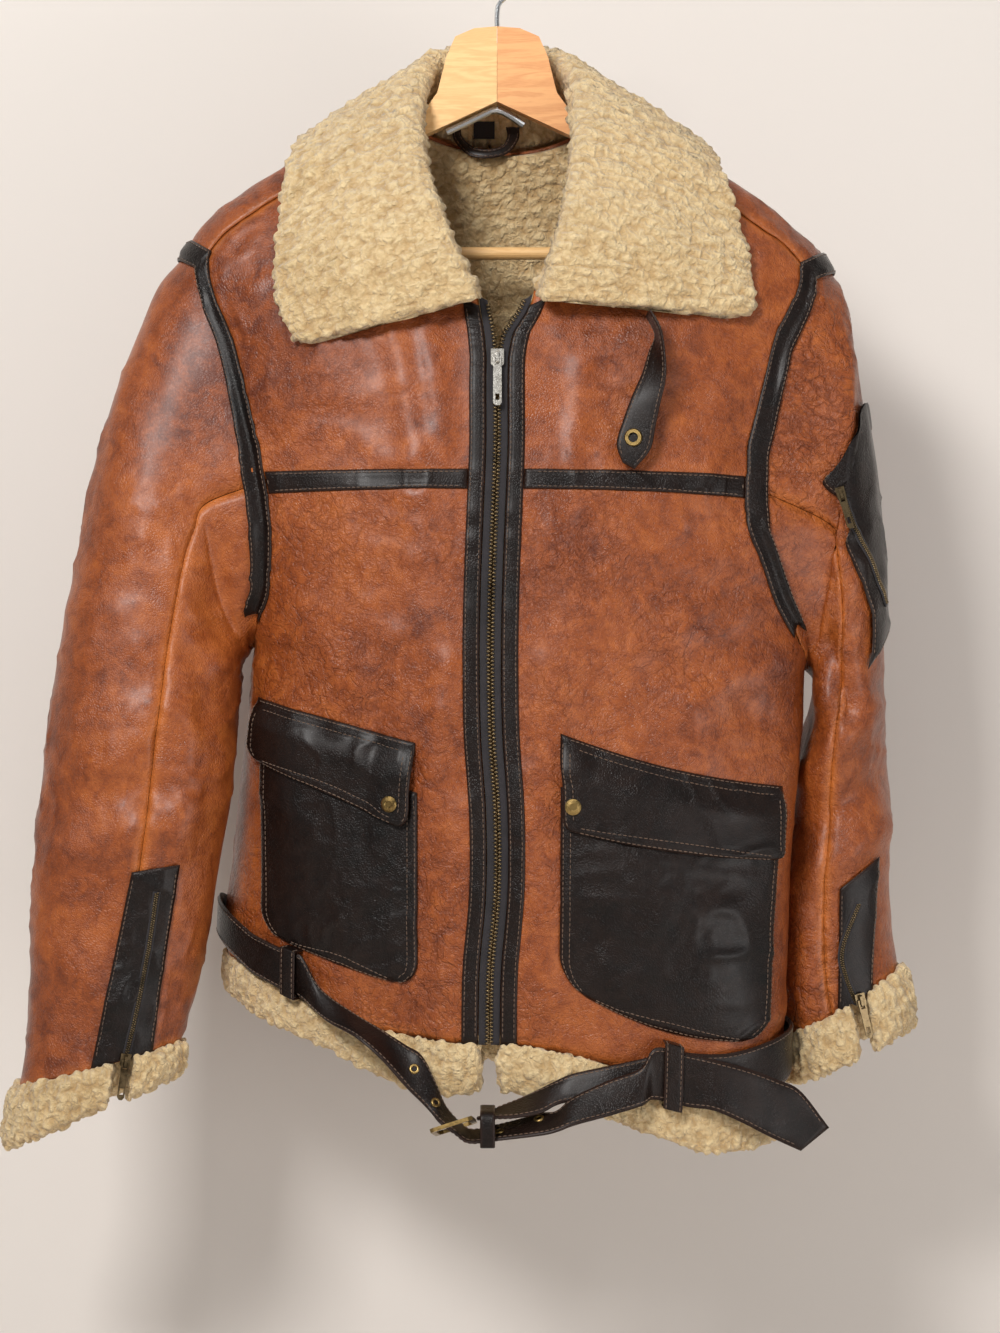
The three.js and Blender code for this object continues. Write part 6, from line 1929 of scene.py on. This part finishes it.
@dataclass
class Straps:
    """Leather straps between two edges, with stitches and brass eyelets."""

    shop: Shop
    stitches: Beads = field(default_factory=Beads)
    rings: list[tuple[Points, Points]] = field(default_factory=list)

    def strap(self, name: str, upper: Points, lower: Points, wall: float, on: Sequence[str],
              pieces: int, held: str = "hung", insets: Sequence[float] = (2.8,)) -> Points:
        """A strap between two edges.

        Args:
            name: The node's name.
            upper: (n, 3) points of its upper edge.
            lower: Points of its lower edge.
            wall: Its thickness.
            on: What holds it.
            pieces: Rows along it.
            held: How it is held.
            insets: Distances of the stitches from its edges.

        Returns:
            The skin that faces the front.
        """
        at = np.linspace(0, len(upper) - 1, pieces)
        a, b = along(upper, at), along(lower, at)
        t = np.linspace(0, 1, 15)
        middle = a[:, None] + (b - a)[:, None] * t[None, :, None]
        out = grid_normals(middle)
        far = rim(middle, "lr")
        soft = rounded(np.minimum(far, rim(middle, "tb")), 1.6)
        half = wall / 2 * (0.35 + 0.65 * soft) - dips(far, insets, 0.35)
        ripple = 0.5 * WRINKLE.noise(middle / 24)
        middle = middle + out * ripple[..., None]
        made = Wall()
        front, back = middle + out * half[..., None], middle - out * half[..., None]
        made.add(front, back, worn(middle, wide=1.8))
        self.shop.fit(made, f"leather_{name}", [name], "dark", "leather_dark", held, on)
        for skin in (front, back[:, ::-1]):
            self.stitches.edge(skin, "lr", insets, 2.0)
        return front

    def eyelet(self, skin: Points, x: float, z: float) -> None:
        """Marks an eyelet where the front view shows it.

        Args:
            skin: A strap's skin.
            x: Place across.
            z: Place up.
        """
        normals = grid_normals(skin)
        away = np.hypot(skin[..., 0] - x, skin[..., 2] - z)
        i, j = np.unravel_index(np.argmin(away), away.shape)
        out = normals[i, j] * (1 if normals[i, j, 1] < 0 else -1)
        self.rings.append((skin[i, j], out))

    def build_eyelets(self) -> None:
        """Makes the brass eyelets as small domed rings with a dark hole."""
        profile = np.array([[1.9, -0.6], [1.9, 0.5], [2.5, 0.95], [3.4, 0.8], [4.1, 0.1], [4.1, -0.6]])
        turn = np.linspace(0, 2 * np.pi, 25)[:-1]
        points, faces, count = [], [], 0
        for at, out in self.rings:
            side = unit(np.cross(out, np.array([0.3, 0.2, 1.0])))
            other = np.cross(out, side)
            ring = (at + profile[:, None, :1] * (np.cos(turn)[None, :, None] * side
                    + np.sin(turn)[None, :, None] * other) + profile[:, None, 1:] * out)
            ids = count + np.arange(ring.shape[0] * 24).reshape(-1, 24)
            nxt = np.roll(ids, -1, axis=1)
            rows = [(k, (k + 1) % len(ids)) for k in range(len(ids))]
            faces += [np.stack([ids[a], nxt[a], nxt[b], ids[b]], 1) for a, b in rows]
            points.append(ring.reshape(-1, 3))
            count += ring.shape[0] * 24
        rings = make_object("belt_eyelets", np.concatenate(points), np.concatenate(faces),
                            self.shop.finish["brass"])
        self.shop.keep(rings, "brass")

    def belt_edge(self, theta: Points, high: float) -> tuple[Points, Points]:
        """The belt's edges where it lies round the body.

        Args:
            theta: Angles.
            high: Height over the body.

        Returns:
            Upper and lower points.
        """
        facts = np.array([[38, 0.11], [50, 0.16], [64, 0.28], [90, 0.44], [120, 0.48], [180, 0.5],
                          [250, 0.56], [270, 0.66], [284, 0.55], [300, 0.38], [316, 0.38]], float)
        theta = np.asarray(theta, float)
        row = np.interp(np.where(theta < 0, theta + 360, theta), facts[:, 0], facts[:, 1])
        half = BELT_WIDTH / 2 / HEM_PITCH
        return over_bare(theta, row + half, high), over_bare(theta, row - half, high)

    def build(self) -> None:
        """Builds the belt, its loops and the other straps."""
        high = BELT_LIFT + BELT_WALL / 2
        back = self.belt_edge(np.linspace(38.2, 314, 60), high)
        self.strap("belt_back", *back, BELT_WALL, ["belt_loop_left", "belt_loop_right"], 260)
        free = self.run(BELT_FREE, {0: (-45.7, high), 1: (-42.4, high), 17: (33.6, high + BELT_WALL + 2),
                                    18: (41.5, high + BELT_WALL + 2)})
        skin = self.strap("belt_free_run", free[:, 0], free[:, 1], BELT_WALL,
                          ["belt_loop_left", "belt_buckle"], 300)
        for x, z in ((-62.6, -868), (-46, -893), (1.5, -913), (31, -904.5)):
            self.eyelet(skin, x, z)
        under = self.run(BELT_UNDER, {8: (37.8, high)})
        self.strap("belt_buckle_run", under[:, 0], under[:, 1], BELT_WALL, ["belt_loop_right"], 110)
        self.loop("belt_loop_left", (-48.2, -43.8), 0.765, 0.02, 14.6, LIFT)
        self.loop("belt_loop_right", (35.6, 40.0), 0.52, -0.28, 17.2, 5.5)
        throat = THROAT_STRAP.copy()
        throat[0, 0, 1] = chest_depth(114, -296) - 0.3
        self.strap("throat_strap", throat[:, 0], throat[:, 1], 2.4, ["front_right_upper"], 90)
        self.strap("hanging_loop", HANG_LOOP[:, 0], HANG_LOOP[:, 1], 2.2, ["back_panel"], 60,
                   insets=(1.8,))
        self.keeper()
        self.stitches.build(self.shop, "strap_stitches", "thread", "leather_dark")
        self.build_eyelets()

    def run(self, rows: Points, round_body: dict[int, tuple[float, float]]) -> Points:
        """A belt run's edges, with the rows that lie on the body filled in.

        Args:
            rows: (n, 2, 3) edges.
            round_body: Angle and height of the rows on the body.

        Returns:
            The edges.
        """
        filled = rows.copy()
        for index, (theta, high) in round_body.items():
            filled[index] = np.stack(self.belt_edge(np.array(theta), high))
        return filled

    def loop(self, name: str, thetas: tuple[float, float], top: float, foot: float, high: float,
             reach: float) -> None:
        """A belt loop: a strip over the belt.

        Args:
            name: The node's name.
            thetas: Its two sides' angles.
            top: Row of its upper end.
            foot: Row of its lower end.
            high: Height over the body.
            reach: Height where it ends below.
        """
        wall = 2.0
        mid = wall / 2 / HEM_PITCH
        path = [(top - mid, LIFT + 0.2), (top - mid, high - 4), (top - mid - 0.004, high - 1.6),
                (top - 0.05, high - wall / 2), ((top + foot) / 2, high - wall / 2 + 0.4),
                (foot + 0.05, high - wall / 2), (foot + mid + 0.004, high - 1.6),
                (foot + mid, high - 4), (foot + mid, reach + 0.2)]
        edges = [np.array([over_bare(theta, row, height) for row, height in path]) for theta in thetas]
        self.strap(name, edges[0], edges[1], wall, ["front_left_lower"], 60, insets=(2.2,))

    def keeper(self) -> None:
        """The leather ring beside the buckle."""
        outer = np.array([[-89.8, -896.6], [-135.2, -896.6], [-135.6, -923.6], [-128.8, -923.8],
                          [-97, -919.8], [-89.8, -907]])
        inner = np.array([[-91.5, -898.3], [-133.5, -898.3], [-133.8, -921.8], [-129, -922],
                          [-98, -918], [-91.5, -906]])
        middle = (outer + inner) / 2
        dense = np.concatenate([span(middle[k], middle[(k + 1) % 6], 9)[:, :-1].T for k in range(6)])
        for _ in range(2):
            dense = (np.roll(dense, 1, axis=0) + 2 * dense + np.roll(dense, -1, axis=0)) / 4
        ring = np.concatenate([dense, dense[:1]])
        sides = [stack(x, ring[:, 0], ring[:, 1]) for x in (-12.6, -1.4)]
        t = np.linspace(0, 1, 13)
        grid = sides[0][:, None] + (sides[1] - sides[0])[:, None] * t[None, :, None]
        wide = np.concatenate([grid[-3:-1], grid, grid[1:3]])
        out = grid_normals(wide)[2:-2]
        half = 0.85 * (0.4 + 0.6 * rounded(rim(grid, "lr"), 1.2))
        made = Wall()
        made.add(grid + out * half[..., None], grid - out * half[..., None], worn(grid, "lr", 1.6))
        self.shop.fit(made, "leather_belt_keeper", ["belt_keeper"], "dark", "leather_dark", "gathered",
                      ["belt_free_run"])


def edges_of(rows: Sequence[Sequence[float]]) -> Points:
    """Rows of an upper and a lower point."""
    return np.array(rows, float).reshape(-1, 2, 3)


BELT_FREE = edges_of([
    [0, 0, 0, 0, 0, 0], [0, 0, 0, 0, 0, 0], [-135.5, -64, -812, -130, -80, -835],
    [-109, -76, -830, -106, -104, -845], [-88, -86, -841, -86, -112, -861],
    [-69, -94, -851.5, -68, -109, -882], [-57, -98, -859, -57, -109, -893],
    [-46.5, -98, -879, -50, -112, -900], [-39, -97, -897, -43, -120, -906.5],
    [-30, -96.5, -908, -32, -129, -913], [-19, -97, -915, -21, -131, -920],
    [2, -101, -911, -2, -130, -918.5], [32, -106, -902, 32, -131, -914.5],
    [45, -112, -899, 45, -131.5, -911.5], [58, -114.5, -888, 58, -130, -907],
    [84, -112.5, -876, 84, -124, -901], [108, -111, -867, 108, -118, -894.5],
    [0, 0, 0, 0, 0, 0], [0, 0, 0, 0, 0, 0], [168, -106, -862, 163, -109, -899],
    [192, -102, -869, 184, -107, -908], [212, -98, -877, 203, -104, -918],
    [230, -96, -886, 217, -101, -925], [252, -95, -914, 230, -99, -931],
])
BELT_UNDER = edges_of([
    [-15.2, -95, -908, -15.2, -133, -901], [0, -94, -900, 0, -126, -902],
    [16, -94, -893, 14, -123, -902.5], [32, -97, -885, 32, -118, -900],
    [45, -100, -878, 45, -112, -894.5], [58, -102.5, -872, 58, -110, -892],
    [84, -104, -866, 84, -111, -890], [108, -103, -861, 108, -106, -888], [0, 0, 0, 0, 0, 0],
])
THROAT_STRAP = edges_of([
    [114, 0, -296, 116, -104, -294], [121, -84, -311, 124, -108, -311],
    [116, -90, -324, 127.5, -108, -335], [110, -95, -342, 127, -106, -350],
    [102, -98, -360, 124, -104, -363], [95, -99, -379, 120, -103, -382],
    [90.5, -100, -396, 116, -102, -400], [95, -100.5, -410, 104, -101, -415],
])
HANG_LOOP = edges_of([
    [-29, 41, -131, -36, 40, -131], [-28, 38, -139, -34.5, 37, -142],
    [-20, 33, -147.5, -23, 31.5, -155], [-8, 31, -150.5, -8, 29, -158],
    [4, 33, -147, 8, 31.5, -154], [8, 38, -139, 17, 37.5, -142], [7, 41, -131, 18, 41, -131],
])


@dataclass
class Zips:
    """The front zip's tape and teeth, and the chains at the cuffs and the arm pocket."""

    shop: Shop
    teeth: Beads = field(default_factory=Beads)
    backing: list[tuple[Points, Points]] = field(default_factory=list)

    def front(self, side: Side) -> None:
        """Half of the front zip.

        Args:
            side: Left or right.
        """
        row = np.linspace(0, ZIP_TOP, 260)
        away = np.array([1.2, 2.0, 3.2, 4.4, 5.8, ZIP_HALF])
        high = np.array([0.55, 0.7, 0.7, 0.2, 0.3, 0.3])
        u = BODY.beside_zip(row[:, None], side, away[None])
        v = spread(row, u)
        grid, out = faced(dented(BODY, u, v, high), BODY.facing(u, v))
        wall = Wall()
        wall.add(grid, grid - out * 1.6)
        self.shop.fit(wall, f"tape_front_zip_{side.value}", [f"front_zip_{side.value}"], "tape",
                      "zip_tape", "hung", [f"front_{side.value}_lower"])
        at = BODY.beside_zip(row, side, 1.35)
        tooth = Bead(2.9, 1.5, 4.4, 1.5, 0.9, taper=0.85)
        line, up = dented(BODY, at, row, 0.6), BODY.facing(at, row)
        self.teeth.sew(tooth, line, up, 0.0 if side is Side.LEFT else 1.45)

    def chain(self, host: Host, line: Points, high: float, phase: float = 0.0) -> None:
        """A closed chain of small teeth on a sleeve.

        Args:
            host: The sleeve.
            line: x, z points of the front view.
            high: Height over the leather.
            phase: Length to the first tooth.
        """
        flat = along(np.array(line, float), np.linspace(0, len(line) - 1, 160))
        u, v = host.locate(flat)
        points, out = dented(host, u, v, high), host.facing(u, v)
        for shift, start in ((-0.8, 0.0), (0.8, 0.9)):
            self.teeth.sew(Bead(1.8, 1.0, 2.3, 1.2, 1.2, shift, 0.9), points, out, phase + start)
        self.backing.append((points, out))

    def build(self) -> None:
        """Builds the zips."""
        for side in Side:
            self.front(side)
            self.chain(ARMS[side], CUFFS[side].teeth, CUFF_LIFT + 0.6)
        arm_zip = ((264, -428), (273, -457), (285, -484), (296, -516))
        self.chain(ARMS[Side.RIGHT], arm_zip, 2.6 + TRIM + 1.0)
        names = ("cuff_zip_left", "cuff_zip_right", "arm_pocket_zip")
        for name, (points, out) in zip(names, self.backing):
            ahead = unit(np.gradient(points, axis=0))
            across = unit(np.cross(ahead, out))
            grid = points[:, None] + across[:, None] * np.linspace(-3, 3, 5)[None, :, None]
            grid, _ = faced(grid, out[:, None])
            wall = Wall()
            wall.add(grid - out[:, None] * 0.1, grid - out[:, None] * 1.1)
            self.shop.fit(wall, f"tape_{name}", [name], "tape", "brass", "laid", ["arm_pocket"])
        self.teeth.build(self.shop, "zip_teeth", "antique", "brass")


@dataclass(frozen=True)
class Dress:
    """How a CAD node that stays is finished."""

    node: str
    look: str
    bevel: float
    angle: float = 35.0

    def put_on(self, frame: dict, finish: dict[str, bpy.types.Material]) -> None:
        """Gives the node its material, rounded edges and smooth shading.

        Args:
            frame: The loaded frame.
            finish: The materials.
        """
        node = frame["nodes"][self.node]
        node.data.materials.clear()
        node.data.materials.append(finish[self.look])
        node.data.polygons.foreach_set("use_smooth", np.ones(len(node.data.polygons), bool))
        if self.bevel:
            bevel = node.modifiers.new("edges", "BEVEL")
            bevel.width = self.bevel * MM
            bevel.segments = 3
            bevel.limit_method = "ANGLE"
            bevel.angle_limit = math.radians(self.angle)
            bevel.harden_normals = True


DRESSED = (
    Dress("hanger_left_arm", "wood_left", 2.6), Dress("hanger_right_arm", "wood_right", 2.6),
    Dress("hanger_bar", "wood_left", 0.5, 50), Dress("hanger_hook", "steel", 0.3, 60),
    Dress("hanger_brace", "steel", 0.3, 60), Dress("belt_buckle", "brass", 1.1),
    Dress("size_tab", "tape", 0.35), Dress("throat_strap_eyelet", "brass", 0.25),
    Dress("snap_left", "brass", 0.3, 25), Dress("snap_right", "brass", 0.3, 25),
    Dress("front_zip_slider", "nickel", 0.4), Dress("front_zip_pull", "nickel", 0.4),
    Dress("cuff_zip_left_slider", "antique", 0.35), Dress("cuff_zip_left_pull", "antique", 0.35),
    Dress("cuff_zip_right_slider", "antique", 0.35), Dress("cuff_zip_right_pull", "antique", 0.35),
    Dress("arm_pocket_slider", "antique", 0.3), Dress("arm_pocket_pull", "antique", 0.3),
)


@dataclass(frozen=True)
class Lamp:
    """A soft rectangular light that looks at the jacket."""

    name: str
    place: tuple[float, float, float]
    size: tuple[float, float]
    power: float
    colour: tuple[float, float, float] = (1.0, 0.98, 0.95)

    def put(self, target: Points) -> None:
        """Makes the light.

        Args:
            target: Where it looks, in metres.
        """
        data = bpy.data.lights.new(self.name, "AREA")
        data.shape = "RECTANGLE"
        data.size, data.size_y = self.size
        data.energy = self.power
        data.color = self.colour
        lamp = bpy.data.objects.new(self.name, data)
        lamp.location = self.place
        aim = np.array(self.place) - target
        lamp.rotation_euler = (math.atan2(math.hypot(aim[0], aim[1]), aim[2]), 0,
                               math.atan2(aim[0], -aim[1]))
        bpy.context.scene.collection.objects.link(lamp)


@dataclass(frozen=True)
class Studio:
    """Camera, lights, wall and floor."""

    camera: tuple[float, float, float] = (2.3, -2400.0, -564.2)  # mm, looking along +Y
    lens: float = 82.07
    wall_at: float = 0.26
    floor_at: float = -1.35
    lamps: tuple[Lamp, ...] = (
        Lamp("key", (-0.8, -2.0, 0.6), (0.6, 0.5), 46, (1.0, 0.98, 0.96)),
        Lamp("fill", (1.5, -1.5, -1.1), (0.9, 0.9), 15, (1.0, 0.98, 0.97)),
        Lamp("top", (0.1, -0.8, 0.9), (1.2, 0.5), 4),
    )

    def build(self, effects: Effects) -> None:
        """Sets up the studio.

        Args:
            effects: The shader groups.
        """
        scene = bpy.context.scene
        data = bpy.data.cameras.new("camera")
        data.sensor_fit = "VERTICAL"
        data.sensor_height = 36.0
        data.lens = self.lens
        camera = bpy.data.objects.new("camera", data)
        camera.location = tuple(c * MM for c in self.camera)
        camera.rotation_euler = (math.pi / 2, 0, 0)
        scene.collection.objects.link(camera)
        scene.camera = camera
        material = Plaster("plaster", srgb(224, 218, 212)).build(effects)
        for name, corners in (
            ("wall", [(-3, self.wall_at, self.floor_at), (3, self.wall_at, self.floor_at),
                      (3, self.wall_at, 2), (-3, self.wall_at, 2)]),
            ("floor", [(-3, -3, self.floor_at), (3, -3, self.floor_at), (3, self.wall_at, self.floor_at),
                       (-3, self.wall_at, self.floor_at)]),
        ):
            mesh = bpy.data.meshes.new(name)
            mesh.from_pydata(corners, [], [(0, 1, 2, 3)])
            mesh.materials.append(material)
            plane = bpy.data.objects.new(name, mesh)
            scene.collection.objects.link(plane)
        world = bpy.data.worlds.new("studio") if scene.world is None else scene.world
        scene.world = world
        world.use_nodes = True
        world.node_tree.nodes["Background"].inputs[0].default_value = (1.0, 0.99, 0.98, 1)
        world.node_tree.nodes["Background"].inputs[1].default_value = 0.27
        scene.view_settings.view_transform = "Standard"
        for lamp in self.lamps:
            lamp.put(np.array([0.0, 0.0, -0.56]))


def main() -> None:
    """Builds the jacket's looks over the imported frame."""
    logging.basicConfig(level=logging.INFO, format="%(name)s: %(message)s")
    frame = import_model()
    effects = Effects()
    finish = {look.name: look.build(effects) for look in FINISHES}
    shop = Shop(finish)
    Panels(shop).build()
    Trims(shop).build()
    Pile(shop).build()
    Straps(shop).build()
    Zips(shop).build()
    for dress in DRESSED:
        dress.put_on(frame, finish)
    Studio().build(effects)


if __name__ == "__main__":
    main()
